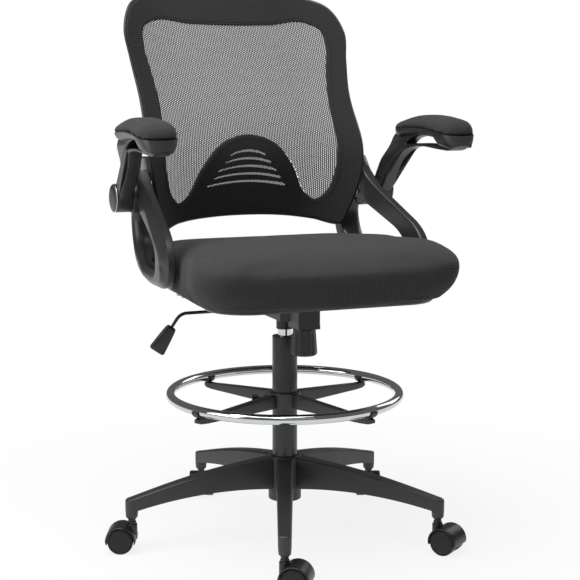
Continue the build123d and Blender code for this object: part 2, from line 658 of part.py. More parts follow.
FLANGE_INNER = HOUSING_HALF_WIDTH + 2 * FACE_GAP
FLANGE_HALF_LENGTH = 20.0
PLATE_TOP = PLATE_UNDERSIDE + PLATE_THICKNESS
PLATE_SCREW_X = PLATE_WIDTH - 36.0
PLATE_SCREW_Y = PLATE_REAR - PLATE_FRONT - 36.0
PLATE_MID = (PLATE_FRONT + PLATE_REAR) / 2
with BuildPart() as seat_plate:
    with BuildSketch(Plane.XY.offset(PLATE_UNDERSIDE)):
        with Locations((0, PLATE_MID)):
            RectangleRounded(PLATE_WIDTH, PLATE_REAR - PLATE_FRONT, PLATE_WIDTH / 10)
    extrude(amount=PLATE_THICKNESS)
    for flange_start in (FLANGE_INNER, -FLANGE_INNER - PLATE_THICKNESS):
        with BuildSketch(Plane.YZ.offset(flange_start)):
            with BuildLine():
                Polyline(
                    (PIVOT_Y - FLANGE_HALF_LENGTH, PLATE_UNDERSIDE),
                    (PIVOT_Y - 2 * PIVOT_PIN_RADIUS, PIVOT_Z),
                )
                ThreePointArc(
                    (PIVOT_Y - 2 * PIVOT_PIN_RADIUS, PIVOT_Z),
                    (PIVOT_Y, PIVOT_Z - 2 * PIVOT_PIN_RADIUS),
                    (PIVOT_Y + 2 * PIVOT_PIN_RADIUS, PIVOT_Z),
                )
                Polyline(
                    (PIVOT_Y + 2 * PIVOT_PIN_RADIUS, PIVOT_Z),
                    (PIVOT_Y + FLANGE_HALF_LENGTH, PLATE_UNDERSIDE),
                    (PIVOT_Y - FLANGE_HALF_LENGTH, PLATE_UNDERSIDE),
                )
            make_face()
        extrude(amount=PLATE_THICKNESS)
    with BuildSketch(Plane.YZ):
        with Locations((PIVOT_Y, PIVOT_Z)):
            Circle(PIVOT_PIN_RADIUS + RUNNING_FIT)
    extrude(amount=PLATE_WIDTH, both=True, mode=Mode.SUBTRACT)
    with BuildSketch(Plane.XY.offset(PLATE_UNDERSIDE)):
        with Locations((0, PLATE_MID)):
            with GridLocations(PLATE_SCREW_X, PLATE_SCREW_Y, 2, 2):
                Circle(SCREW_RADIUS)
    extrude(amount=PLATE_THICKNESS, mode=Mode.SUBTRACT)
save(seat_plate, "seat_plate")

PIN_HALF_LENGTH = FLANGE_INNER + PLATE_THICKNESS + FACE_GAP
with BuildPart() as pivot_pin:
    with BuildSketch(Plane.YZ):
        with Locations((PIVOT_Y, PIVOT_Z)):
            Circle(PIVOT_PIN_RADIUS)
    extrude(amount=PIN_HALF_LENGTH, both=True)
    for head_start in (PIN_HALF_LENGTH, -PIN_HALF_LENGTH - SCREW_HEAD):
        with BuildSketch(Plane.YZ.offset(head_start)):
            with Locations((PIVOT_Y, PIVOT_Z)):
                Circle(PIVOT_PIN_RADIUS * 1.5)
        extrude(amount=SCREW_HEAD)
save(pivot_pin, "pivot_pin")

with BuildPart() as plate_screws:
    with BuildSketch(Plane.XY.offset(PLATE_UNDERSIDE)):
        with Locations((0, PLATE_MID)):
            with GridLocations(PLATE_SCREW_X, PLATE_SCREW_Y, 2, 2):
                Circle(SCREW_RADIUS)
    extrude(amount=PLATE_THICKNESS + SCREW_GRIP)
    with BuildSketch(Plane.XY.offset(PLATE_UNDERSIDE)):
        with Locations((0, PLATE_MID)):
            with GridLocations(PLATE_SCREW_X, PLATE_SCREW_Y, 2, 2):
                RegularPolygon(SCREW_HEAD_RADIUS, 6)
    extrude(amount=-SCREW_HEAD)
save(plate_screws, "plate_screws")

BOLT_TOP = HOUSING_FLOOR + HOUSING_WALL + 12.0
KNOB_ROUND = KNOB_BOTTOM_RADIUS / 4
with BuildPart() as tension_knob:
    with BuildSketch(Plane.XZ.offset(-KNOB_Y)):
        with BuildLine():
            Polyline(
                (KNOB_BOTTOM_RADIUS, KNOB_BOTTOM + KNOB_ROUND),
                (KNOB_TOP_RADIUS, KNOB_TOP),
                (0, KNOB_TOP),
                (0, KNOB_BOTTOM),
                (KNOB_BOTTOM_RADIUS - 2 * KNOB_ROUND, KNOB_BOTTOM),
            )
            ThreePointArc(
                (KNOB_BOTTOM_RADIUS - 2 * KNOB_ROUND, KNOB_BOTTOM),
                (KNOB_BOTTOM_RADIUS - KNOB_ROUND / 2, KNOB_BOTTOM + KNOB_ROUND / 3),
                (KNOB_BOTTOM_RADIUS, KNOB_BOTTOM + KNOB_ROUND),
            )
        make_face()
    revolve(axis=Axis((0, KNOB_Y, 0), (0, 0, 1)))
    with BuildSketch(Plane.XY.offset(KNOB_BOTTOM)):
        with Locations((0, KNOB_Y)):
            with PolarLocations(KNOB_BOTTOM_RADIUS + 2.2, KNOB_FLUTES):
                Circle(KNOB_BOTTOM_RADIUS / 6)
    extrude(amount=(KNOB_TOP - KNOB_BOTTOM) * 0.8, mode=Mode.SUBTRACT)
    with BuildSketch(Plane.XY.offset(KNOB_TOP)):
        with Locations((0, KNOB_Y)):
            Circle(KNOB_BOLT_RADIUS)
    extrude(amount=BOLT_TOP - KNOB_TOP)
save(tension_knob, "tension_knob")

BUSH_HALF_LENGTH = 6.0
BUSH_HALF_HEIGHT = 7.0
with BuildPart() as lever_bush:
    with BuildSketch(Plane.XZ):
        with Locations((LEVER_PIVOT_X, LEVER_Z)):
            Rectangle(2 * BUSH_HALF_LENGTH, 2 * BUSH_HALF_HEIGHT)
    extrude(amount=EAR_GAP - FACE_GAP, both=True)
    with BuildSketch(Plane.XZ):
        with Locations((LEVER_PIVOT_X, LEVER_Z)):
            Circle(TRUNNION_RADIUS)
    extrude(amount=EAR_GAP + EAR_THICKNESS, both=True)
    with BuildSketch(Plane.YZ.offset(LEVER_PIVOT_X - BUSH_HALF_LENGTH)):
        with Locations((0, LEVER_Z)):
            Circle(LEVER_ROD_RADIUS + RUNNING_FIT)
    extrude(amount=2 * BUSH_HALF_LENGTH, mode=Mode.SUBTRACT)
save(lever_bush, "lever_bush")

ROD_INNER_END = LEVER_STROKE + VALVE_PIN_RADIUS
DROP = radians(LEVER_DROP_ANGLE)
PADDLE_PLANE = Plane(
    origin=(LEVER_BEND_X, 0, LEVER_Z), x_dir=(-cos(DROP), 0, -sin(DROP)), z_dir=(0, -1, 0)
)
ROD_GRIP = PADDLE_OFFSET + PADDLE_LENGTH * 0.6
BEND_RADIUS = 4 * LEVER_ROD_RADIUS
with BuildPart() as lever_rod:
    with BuildLine() as lever_path:
        FilletPolyline(
            (ROD_INNER_END, 0, LEVER_Z),
            (LEVER_BEND_X, 0, LEVER_Z),
            (LEVER_BEND_X - ROD_GRIP * cos(DROP), 0, LEVER_Z - ROD_GRIP * sin(DROP)),
            radius=BEND_RADIUS,
        )
    with BuildSketch(Plane(origin=lever_path.line @ 0, z_dir=lever_path.line % 0)):
        Circle(LEVER_ROD_RADIUS)
    sweep()
save(lever_rod, "lever_rod")

PADDLE_TIP = PADDLE_OFFSET + PADDLE_LENGTH
with BuildPart() as lever_paddle:
    with BuildSketch(PADDLE_PLANE):
        with BuildLine():
            Polyline(
                (PADDLE_TIP - PADDLE_END / 2, PADDLE_END),
                (PADDLE_OFFSET, PADDLE_NECK),
                (PADDLE_OFFSET, -PADDLE_NECK),
                (PADDLE_TIP - PADDLE_END / 2, -PADDLE_END),
            )
            ThreePointArc(
                (PADDLE_TIP - PADDLE_END / 2, -PADDLE_END),
                (PADDLE_TIP, 0),
                (PADDLE_TIP - PADDLE_END / 2, PADDLE_END),
            )
        make_face()
    extrude(amount=PADDLE_THICKNESS / 2, both=True)
    chamfer(lever_paddle.faces().filter_by(Axis.Y).edges(), PADDLE_THICKNESS / 5)
    add(lever_rod.part, mode=Mode.SUBTRACT)
save(lever_paddle, "lever_paddle")

COIL_RADIUS = PIVOT_PIN_RADIUS + SPRING_WIRE / 2 + 2 * FACE_GAP
COIL_HALF_LENGTH = SPRING_TURNS * SPRING_WIRE / 2
with BuildPart() as tilt_spring:
    with BuildSketch(Plane.YZ.offset(-COIL_HALF_LENGTH)):
        with Locations((PIVOT_Y, PIVOT_Z)):
            Circle(COIL_RADIUS + SPRING_WIRE / 2)
            Circle(COIL_RADIUS - SPRING_WIRE / 2, mode=Mode.SUBTRACT)
    extrude(amount=2 * COIL_HALF_LENGTH)
save(tilt_spring, "tilt_spring")


# Seat: moulded pan and the crowned cushion on it
PAN_TOP = PLATE_TOP + PAN_THICKNESS


def seat_outline(height, side, front, rear):
    """Rounded seat outline at one height, drawn in at its sides, front and rear."""
    with BuildSketch(Plane.XY.offset(height)) as outline:
        with BuildLine():
            Polyline(
                (-SEAT_FRONT_HALF_WIDTH + side, SEAT_FRONT + front),
                (SEAT_FRONT_HALF_WIDTH - side, SEAT_FRONT + front),
                (SEAT_REAR_HALF_WIDTH - side, SEAT_REAR - rear),
                (-SEAT_REAR_HALF_WIDTH + side, SEAT_REAR - rear),
                close=True,
            )
        make_face()
        fillet(outline.vertices(), SEAT_CORNER_RADIUS)
    return outline.sketch


with BuildPart() as seat_pan:
    extrude(seat_outline(PLATE_TOP, PAN_INSET, PAN_INSET, PAN_INSET), amount=PAN_THICKNESS)
    chamfer(seat_pan.edges().group_by(Axis.Z)[0], PAN_THICKNESS / 3)
    with BuildSketch(Plane.XY.offset(PLATE_TOP)):
        with Locations((0, PLATE_MID)):
            with GridLocations(PLATE_SCREW_X, PLATE_SCREW_Y, 2, 2):
                Circle(SCREW_RADIUS)
    extrude(amount=SCREW_GRIP, mode=Mode.SUBTRACT)

CUSHION_RISE = SEAT_CROWN - SEAT_WIDEST
CUSHION_BASE = PLATE_TOP + CUSHION_LIP
CUSHION_DROP = SEAT_WIDEST - CUSHION_BASE
CUSHION_LEVELS = (
    (CUSHION_BASE, 21.0, 18.0),
    (CUSHION_BASE + 0.1 * CUSHION_DROP, 13.0, 11.0),
    (CUSHION_BASE + 0.35 * CUSHION_DROP, 5.0, 4.0),
    (CUSHION_BASE + 0.7 * CUSHION_DROP, 1.0, 0.5),
    (SEAT_WIDEST, 0.0, 0.0),
    (SEAT_WIDEST + 0.3 * CUSHION_RISE, 4.0, 6.0),
    (SEAT_WIDEST + 0.6 * CUSHION_RISE, 15.0, 22.0),
    (SEAT_WIDEST + 0.82 * CUSHION_RISE, 33.0, 48.0),
    (SEAT_WIDEST + 0.94 * CUSHION_RISE, 60.0, 84.0),
    (SEAT_CROWN, 110.0, 140.0),
)
with BuildPart() as seat_cushion:
    levels = [seat_outline(height, side, front, side) for height, side, front in CUSHION_LEVELS]
    loft(levels, ruled=True)
    extrude(seat_outline(PLATE_TOP, PAN_INSET, PAN_INSET, PAN_INSET), amount=PAN_THICKNESS, mode=Mode.SUBTRACT)
save(seat_cushion, "seat_cushion")


# Back: a shell that curves round the sitter, cut by front-view outlines
def back_shell(front, rear):
    """Solid between two offsets behind the back's front surface, wider than the back."""
    with BuildPart() as shell:
        for height, centre, edge, half in zip(BACK_LEVELS, BACK_CENTRES, BACK_EDGES, BACK_HALF_WIDTHS):
            wing = centre - (centre - edge) * (BACK_BAND / half) ** 2
            with BuildSketch(Plane.XY.offset(height)):
                with BuildLine():
                    ThreePointArc((-BACK_BAND, wing + front), (0, centre + front), (BACK_BAND, wing + front))
                    Line((BACK_BAND, wing + front), (BACK_BAND, wing + rear))
                    ThreePointArc((BACK_BAND, wing + rear), (0, centre + rear), (-BACK_BAND, wing + rear))
                    Line((-BACK_BAND, wing + rear), (-BACK_BAND, wing + front))
                make_face()
        loft()
    return shell.part


BACK_CORNER_X = BACK_HALF_WIDTHS[0] + 2
SHOULDER_SPAN = 80.0
SHOULDER_CUT = 24.0
TOP_CROWN = 3.0
BACK_SHOULDER = BACK_TOP - SHOULDER_SPAN
BACK_TOP_CORNER_X = BACK_HALF_WIDTHS[5] - SHOULDER_SPAN
BACK_REACH = 2 * BACK_CENTRES[-1]


def back_outline(inset):
    """Front-view outline of the back, drawn in all round."""
    bottom_corner = (BACK_CORNER_X - inset, BACK_BOTTOM_CORNER + inset)
    hip = (BACK_HALF_WIDTHS[1] + 3 - inset, BACK_LEVELS[1])
    lumbar = (BACK_HALF_WIDTHS[2] - inset, BACK_LEVELS[2])
    flank = (BACK_HALF_WIDTHS[4] - inset, BACK_LEVELS[4])
    shoulder = (BACK_HALF_WIDTHS[5] - inset, BACK_SHOULDER)
    cut = SHOULDER_CUT + inset * cos(radians(45))
    top_corner = (BACK_TOP_CORNER_X, BACK_TOP - TOP_CROWN - inset)
    with BuildSketch(Plane.XZ) as outline:
        with BuildLine():
            Line((0, BACK_TOP - inset), top_corner)
            ThreePointArc(top_corner, (BACK_HALF_WIDTHS[5] - cut, BACK_TOP - cut), shoulder)
            ThreePointArc(shoulder, flank, lumbar)
            ThreePointArc(lumbar, hip, bottom_corner)
            TangentArc((0, BACK_BOTTOM_MID + inset), bottom_corner, tangent=(1, 0))
            Line((0, BACK_BOTTOM_MID + inset), (0, BACK_TOP - inset))
        make_face()
        mirror(about=Plane.YZ)
    return outline.sketch


TOP_BORDER = 69.0
WINDOW_DIP = 7.0
WINDOW_TOP = BACK_TOP - TOP_BORDER
WINDOW_SHOULDER = (172.0, WINDOW_TOP + WINDOW_DIP)
WINDOW_CORNER = (197.0, WINDOW_TOP - 7.0)
WINDOW_SIDE_TOP = (204.0, WINDOW_TOP - 37.0)
WINDOW_WAIST = (189.0, LUMBAR_LEVEL + UPPER_BACK * WAIST_SHARE)
WINDOW_HIP = (190.0, 770.0)
WINDOW_HIP_LOW = (184.0, 715.0)
WINDOW_LOBE_OUTER = (172.0, 685.0)
WINDOW_LOBE_BOTTOM = (151.0, 664.0)
WINDOW_LOBE_INNER = (130.0, 680.0)
ARCH_SPRING = (95.0, 744.0)
ARCH_SHOULDER = (58.0, 786.0)
ARCH_TOP = 804.0


def window_outline(with_arch):
    """Front-view outline of the see-through window, above the lumbar arch or down to the lower border."""
    with BuildSketch(Plane.XZ) as outline:
        with BuildLine():
            TangentArc((0, WINDOW_TOP), WINDOW_SHOULDER, tangent=(1, 0))
            ThreePointArc(WINDOW_SHOULDER, WINDOW_CORNER, WINDOW_SIDE_TOP)
            ThreePointArc(WINDOW_SIDE_TOP, WINDOW_WAIST, WINDOW_HIP)
            ThreePointArc(WINDOW_HIP, WINDOW_HIP_LOW, WINDOW_LOBE_OUTER)
            if with_arch:
                ThreePointArc(WINDOW_LOBE_OUTER, WINDOW_LOBE_BOTTOM, WINDOW_LOBE_INNER)
                Line(WINDOW_LOBE_INNER, ARCH_SPRING)
                ThreePointArc(ARCH_SPRING, ARCH_SHOULDER, (0, ARCH_TOP))
                Line((0, ARCH_TOP), (0, WINDOW_TOP))
            else:
                Line(WINDOW_LOBE_OUTER, WINDOW_LOBE_BOTTOM)
                Line(WINDOW_LOBE_BOTTOM, (0, WINDOW_LOBE_BOTTOM[1]))
                Line((0, WINDOW_LOBE_BOTTOM[1]), (0, WINDOW_TOP))
        make_face()
        mirror(about=Plane.YZ)
    return outline.sketch


def slot_outlines():
    """The curved slots of the lumbar arch, each a band between two arcs."""
    with BuildSketch(Plane.XZ) as slots:
        for number, half in enumerate(SLOT_HALF_LENGTHS):
            height = SLOT_TOP - number * SLOT_PITCH
            with BuildLine():
                ThreePointArc((-half, height - SLOT_RISE), (0, height), (half, height - SLOT_RISE))
                Line((half, height - SLOT_RISE), (half, height - SLOT_RISE - SLOT_HEIGHT))
                ThreePointArc(
                    (half, height - SLOT_RISE - SLOT_HEIGHT),
                    (0, height - SLOT_HEIGHT),
                    (-half, height - SLOT_RISE - SLOT_HEIGHT),
                )
                Line((-half, height - SLOT_RISE - SLOT_HEIGHT), (-half, height - SLOT_RISE))
            make_face()
    return slots.sketch


FRAME_REAR = COVER_THICKNESS + FRAME_THICKNESS
BACK_SCREW_X = BACK_HALF_WIDTHS[1] + 14.0
BACK_SCREW_Z = 738.0
BACK_SCREW_HEAD_Y = 203.0
BACK_SCREW_LENGTH = 52.0
with BuildPart() as back_screw_shafts:
    with BuildSketch(Plane.XZ.offset(-BACK_SCREW_HEAD_Y)):
        with Locations((BACK_SCREW_X, BACK_SCREW_Z), (-BACK_SCREW_X, BACK_SCREW_Z)):
            Circle(SCREW_RADIUS)
    extrude(amount=BACK_SCREW_LENGTH)

with BuildPart() as back_cover:
    add(back_shell(0, COVER_THICKNESS))
    extrude(back_outline(RIM_WIDTH), amount=-BACK_REACH, mode=Mode.INTERSECT)
    extrude(window_outline(True), amount=-BACK_REACH, mode=Mode.SUBTRACT)
    extrude(slot_outlines(), amount=-BACK_REACH, mode=Mode.SUBTRACT)
save(back_cover, "back_cover")

with BuildPart() as back_frame:
    add(back_shell(COVER_THICKNESS, FRAME_REAR))
    extrude(back_outline(0), amount=-BACK_REACH, mode=Mode.INTERSECT)
    extrude(window_outline(False), amount=-BACK_REACH, mode=Mode.SUBTRACT)
    add(back_screw_shafts.part, mode=Mode.SUBTRACT)
save(back_frame, "back_frame")

with BuildPart() as lumbar_plate:
    add(back_shell(COVER_THICKNESS, FRAME_REAR))
    extrude(window_outline(False), amount=-BACK_REACH, mode=Mode.INTERSECT)
    extrude(window_outline(True), amount=-BACK_REACH, mode=Mode.SUBTRACT)
    extrude(slot_outlines(), amount=-BACK_REACH, mode=Mode.SUBTRACT)
save(lumbar_plate, "lumbar_plate")

with BuildPart() as mesh_panel:
    add(back_shell(MESH_SETBACK, MESH_SETBACK + MESH_THICKNESS))
    extrude(window_outline(True), amount=-BACK_REACH, mode=Mode.INTERSECT)
save(mesh_panel, "mesh_panel")


# Arm brackets: a looped moulding each side, from under the seat pan to the back
BRACKET_OUTER = (
    (152.0, 762.0),
    (112.0, 706.0),
    (-91.0, 618.0),
    (-109.0, 575.0),
    (-78.0, 510.0),
    (95.0, 510.0),
    (165.0, 540.0),
    (203.0, 610.0),
    (210.0, 690.0),
    (186.0, 762.0),
)
BRACKET_OPENING = (
    (150.0, 662.0),
    (0.0, 614.0),
    (-26.0, 582.0),
    (-8.0, 550.0),
    (100.0, 548.0),
    (160.0, 590.0),
    (178.0, 640.0),
)
BRACKET_CORNER = 44.0
BRACKET_TAIL_CORNER = 13.0
BRACKET_BACK_CUT = 36.0
OPENING_CORNER = 24.0
BRACKET_LEAN = (BRACKET_FRONT_INNER - BRACKET_REAR_INNER) / (BRACKET_BAND_REAR - BRACKET_BAND_FRONT)
TAB_THICKNESS = 5.0
TAB_INNER = 182.0
TAB_FRONT = 20.0
TAB_REAR = 100.0
TAB_RISER = 8.0
TAB_SCREW_X = 194.0
TAB_SCREWS = ((TAB_SCREW_X, TAB_FRONT + 25.0), (TAB_SCREW_X, TAB_REAR - 25.0))
BRACKET_BOTTOM = BRACKET_OUTER[4][1]


def bracket_inner(y):
    """Distance of a bracket's inner face from the centre plane."""
    return BRACKET_FRONT_INNER - BRACKET_LEAN * (y - BRACKET_BAND_FRONT)


with BuildPart() as tab_screw_shafts:
    with BuildSketch(Plane.XY.offset(PLATE_TOP - TAB_THICKNESS)):
        for x, y in TAB_SCREWS:
            with Locations((x, y), (-x, y)):
                Circle(SCREW_RADIUS)
    extrude(amount=TAB_THICKNESS + SCREW_GRIP)

with BuildPart() as seat_pan_drilled:
    add(seat_pan.part)
    add(tab_screw_shafts.part, mode=Mode.SUBTRACT)
save(seat_pan_drilled, "seat_pan")

with BuildPart() as bracket:
    with BuildSketch(Plane.YZ) as bracket_side:
        Polygon(*BRACKET_OUTER, align=None)
        tail_corners = bracket_side.vertices().group_by(Axis.Z)[-1]
        fillet([corner for corner in bracket_side.vertices() if corner not in tail_corners], BRACKET_CORNER)
        fillet(bracket_side.vertices().group_by(Axis.Z)[-1], BRACKET_TAIL_CORNER)
        with BuildSketch(Plane.YZ, mode=Mode.PRIVATE) as opening_side:
            Polygon(*BRACKET_OPENING, align=None)
            fillet(opening_side.vertices(), OPENING_CORNER)
        add(opening_side.sketch_local, mode=Mode.SUBTRACT)
    extrude(amount=BRACKET_FRONT_INNER + 2 * BRACKET_THICKNESS)
    with BuildSketch(Plane.XY):
        with BuildLine():
            Polyline(
                (BRACKET_FRONT_INNER, BRACKET_BAND_FRONT),
                (BRACKET_FRONT_INNER + BRACKET_THICKNESS, BRACKET_BAND_FRONT),
                (BRACKET_REAR_INNER + BRACKET_THICKNESS, BRACKET_BAND_REAR),
                (BRACKET_REAR_INNER, BRACKET_BAND_REAR),
                close=True,
            )
        make_face()
    extrude(amount=BACK_TOP, mode=Mode.INTERSECT)
    chamfer(bracket.faces().sort_by(Axis.X)[-1].edges(), BRACKET_EDGE_ROUND)
    with BuildSketch(Plane.YZ.offset(bracket_inner(ARM_PIVOT_Y) + BRACKET_THICKNESS / 2)):
        with Locations((ARM_PIVOT_Y, ARM_PIVOT_Z)):
            Circle(ARM_BOSS_RADIUS)
    extrude(amount=ARM_INNER - FACE_GAP - bracket_inner(ARM_PIVOT_Y) - BRACKET_THICKNESS / 2)
    with BuildSketch(Plane.XY.offset(PLATE_TOP - TAB_THICKNESS)):
        with BuildLine():
            Polyline(
                (TAB_INNER, TAB_FRONT),
                (bracket_inner(TAB_FRONT) + TAB_RISER, TAB_FRONT),
                (bracket_inner(TAB_REAR) + TAB_RISER, TAB_REAR),
                (TAB_INNER, TAB_REAR),
                close=True,
            )
        make_face()
    extrude(amount=TAB_THICKNESS)
    with BuildSketch(Plane.XY.offset(PLATE_TOP - TAB_THICKNESS)):
        with BuildLine():
            Polyline(
                (bracket_inner(TAB_FRONT), TAB_FRONT),
                (bracket_inner(TAB_FRONT) + TAB_RISER, TAB_FRONT),
                (bracket_inner(TAB_REAR) + TAB_RISER, TAB_REAR),
                (bracket_inner(TAB_REAR), TAB_REAR),
                close=True,
            )
        make_face()
    extrude(amount=BRACKET_BOTTOM - PLATE_TOP + 2 * TAB_THICKNESS)
    with BuildSketch(Plane.YZ.offset(bracket_inner(ARM_PIVOT_Y))):
        with Locations((ARM_PIVOT_Y, ARM_PIVOT_Z)):
            Circle(ARM_PIN_RADIUS)
    extrude(amount=ARM_INNER - bracket_inner(ARM_PIVOT_Y), mode=Mode.SUBTRACT)
    add(back_shell(-BRACKET_BACK_CUT, FRAME_REAR), mode=Mode.SUBTRACT)
    add(back_screw_shafts.part, mode=Mode.SUBTRACT)
    add(tab_screw_shafts.part, mode=Mode.SUBTRACT)

with BuildPart() as frame_screws:
    add(tab_screw_shafts.part)
    add(back_screw_shafts.part)
    with BuildSketch(Plane.XY.offset(PLATE_TOP - TAB_THICKNESS)):
        for x, y in TAB_SCREWS:
            with Locations((x, y), (-x, y)):
                RegularPolygon(SCREW_HEAD_RADIUS, 6)
    extrude(amount=-SCREW_HEAD)
    with BuildSketch(Plane.XZ.offset(-BACK_SCREW_HEAD_Y)):
        with Locations((BACK_SCREW_X, BACK_SCREW_Z), (-BACK_SCREW_X, BACK_SCREW_Z)):
            RegularPolygon(SCREW_HEAD_RADIUS, 6)
    extrude(amount=-SCREW_HEAD)
save(frame_screws, "frame_screws")


# Flip-up arms: forked moulding, pivot pin, cap and padded rest
ARM_OUTER = ARM_INNER + ARM_THICKNESS
ARM_REAR_Y = ARM_PIVOT_Y + ARM_BOSS_RADIUS + ARM_PIN_RADIUS
ARM_SPREAD = tan(radians(ARM_TOE_OUT))
ARM_TOP_MID_Y = (ARM_TOP_REAR_Y + ARM_TOP_FRONT_Y) / 2
ARM_TOP_REAR = (ARM_TOP_REAR_Y, ARM_TOP_REAR_Z)
ARM_TOP_MID = (ARM_TOP_MID_Y, ARM_TOP_MID_Z)
ARM_TOP_FRONT = (ARM_TOP_FRONT_Y, ARM_TOP_FRONT_Z)
FORK_NOSE = (-172.0, 786.0)
FORK_CHIN = (-150.0, 777.0)
FORK_UNDER_FRONT = (-100.0, 777.0)
FORK_UNDER_MID = (-27.0, 780.0)
FORK_UNDER_REAR = (24.0, 771.0)
FORK_ELBOW = (50.0, 750.0)
ARM_SHANK_FRONT = (67.0, 727.0)
ARM_SHANK_LOW = (142.0, 667.0)
ARM_SHANK_REAR = (178.0, 698.0)
ARM_BACK_LOW = (122.0, 764.0)
ARM_BACK_HIGH = (100.0, 796.0)
LENS_REAR = (38.0, 786.0)
LENS_TOP = (-40.0, 808.0)
LENS_FRONT = (-112.0, 792.0)
LENS_BOTTOM = (-32.0, 788.5)


def arm_inner(y):
    """Distance of an arm's inner face from the centre plane, toed out towards the front."""
    return ARM_INNER + (ARM_REAR_Y - y) * ARM_SPREAD


CAP_BASE = arm_inner(ARM_PIVOT_Y - ARM_BOSS_RADIUS) + ARM_THICKNESS + FACE_GAP
with BuildPart() as arm:
    with BuildSketch(Plane.YZ):
        with BuildLine():
            ThreePointArc(ARM_TOP_REAR, ARM_TOP_MID, ARM_TOP_FRONT)
            Polyline(ARM_TOP_FRONT, FORK_NOSE, FORK_CHIN, FORK_UNDER_FRONT)
            ThreePointArc(FORK_UNDER_FRONT, FORK_UNDER_MID, FORK_UNDER_REAR)
            ThreePointArc(FORK_UNDER_REAR, FORK_ELBOW, ARM_SHANK_FRONT)
            Polyline(ARM_SHANK_FRONT, ARM_SHANK_LOW, ARM_SHANK_REAR, ARM_BACK_LOW, ARM_BACK_HIGH, ARM_TOP_REAR)
        make_face()
        with BuildLine():
            ThreePointArc(LENS_REAR, LENS_TOP, LENS_FRONT)
            ThreePointArc(LENS_FRONT, LENS_BOTTOM, LENS_REAR)
        make_face(mode=Mode.SUBTRACT)
    extrude(amount=2 * ARM_OUTER)
    with BuildSketch(Plane.XY):
        with BuildLine():
            Polyline(
                (arm_inner(ARM_REAR_Y), ARM_REAR_Y),
                (arm_inner(ARM_REAR_Y) + ARM_THICKNESS, ARM_REAR_Y),
                (arm_inner(ARM_TOP_FRONT_Y) + ARM_THICKNESS, ARM_TOP_FRONT_Y),
                (arm_inner(ARM_TOP_FRONT_Y), ARM_TOP_FRONT_Y),
                close=True,
            )
        make_face()
    extrude(amount=BACK_TOP, mode=Mode.INTERSECT)
    with BuildSketch(Plane.YZ.offset(ARM_INNER)):
        with Locations((ARM_PIVOT_Y, ARM_PIVOT_Z)):
            Circle(ARM_BOSS_RADIUS)
    extrude(amount=CAP_BASE - ARM_INNER)
    with BuildSketch(Plane.YZ.offset(ARM_INNER)):
        with Locations((ARM_PIVOT_Y, ARM_PIVOT_Z)):
            Circle(ARM_PIN_RADIUS + RUNNING_FIT)
    extrude(amount=ARM_THICKNESS - ARM_PIN_RADIUS / 2, mode=Mode.SUBTRACT)

with BuildPart() as arm_pin:
    with BuildSketch(Plane.YZ.offset(bracket_inner(ARM_PIVOT_Y) + ARM_PIN_RADIUS / 2)):
        with Locations((ARM_PIVOT_Y, ARM_PIVOT_Z)):
            Circle(ARM_PIN_RADIUS)
    extrude(amount=ARM_OUTER - ARM_PIN_RADIUS - bracket_inner(ARM_PIVOT_Y))

with BuildPart() as arm_cap:
    with BuildSketch(Plane.YZ.offset(CAP_BASE)):
        with Locations((ARM_PIVOT_Y, ARM_PIVOT_Z)):
            Circle(CAP_RADIUS)
    extrude(amount=CAP_THICKNESS)
    fillet(arm_cap.faces().sort_by(Axis.X)[-1].edges(), CAP_THICKNESS / 3)

ARCH_SAG = ARM_TOP_MID_Z - (ARM_TOP_REAR_Z + ARM_TOP_FRONT_Z) / 2
PAD_REAR = ARM_TOP_REAR_Y - PAD_SETBACK
PAD_FRONT = ARM_TOP_FRONT_Y + PAD_SETBACK
PAD_STATIONS = ((0.0, 0.5, 0.5), (0.07, 0.8, 0.8), (0.3, 0.98, 1.0), (0.6, 1.0, 1.0), (0.93, 0.85, 0.8), (1.0, 0.5, 0.5))


def arm_top(y):
    """Height of the arm's arched top, by the parabola through its rear, middle and front points."""
    half = (ARM_TOP_REAR_Y - ARM_TOP_FRONT_Y) / 2
    along = (y - ARM_TOP_MID_Y) / half
    slope = (ARM_TOP_REAR_Z - ARM_TOP_FRONT_Z) / 2
    return ARM_TOP_MID_Z + slope * along - ARCH_SAG * along**2


with BuildPart() as pad:
    for along, breadth, depth in PAD_STATIONS:
        y = PAD_REAR + (PAD_FRONT - PAD_REAR) * along
        middle = arm_inner(y) + ARM_THICKNESS / 2
        half = PAD_WIDTH / 2 * breadth
        base = arm_top(y) + 2 * FACE_GAP
        rise = PAD_HEIGHT * depth
        with BuildSketch(Plane.XZ.offset(-y)):
            with BuildLine():
                Line((middle - 0.8 * half, base), (middle + 0.8 * half, base))
                ThreePointArc(
                    (middle + 0.8 * half, base),
                    (middle + half, base + 0.4 * rise),
                    (middle + 0.75 * half, base + 0.8 * rise),
                )
                ThreePointArc(
                    (middle + 0.75 * half, base + 0.8 * rise),
                    (middle, base + rise),
                    (middle - 0.75 * half, base + 0.8 * rise),
                )
                ThreePointArc(
                    (middle - 0.75 * half, base + 0.8 * rise),
                    (middle - half, base + 0.4 * rise),
                    (middle - 0.8 * half, base),
                )
            make_face()
    loft()

SIDED_PIECES = (
    (bracket, "bracket"), (arm, "arm"), (arm_pin, "arm_pin"), (arm_cap, "arm_cap"), (pad, "arm_pad")
)
for piece, name in SIDED_PIECES:
    save(piece, f"{name}_left")
    with BuildPart() as mirrored:
        mirror(piece.part, about=Plane.YZ)
    save(mirrored, f"{name}_right")
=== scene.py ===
"""Looks of the drafting chair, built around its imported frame.

Metres. +Z is up, the sitter looks towards -Y, +X is the sitter's left.
"""

import json
import logging
from collections.abc import Callable
from dataclasses import dataclass
from enum import Enum

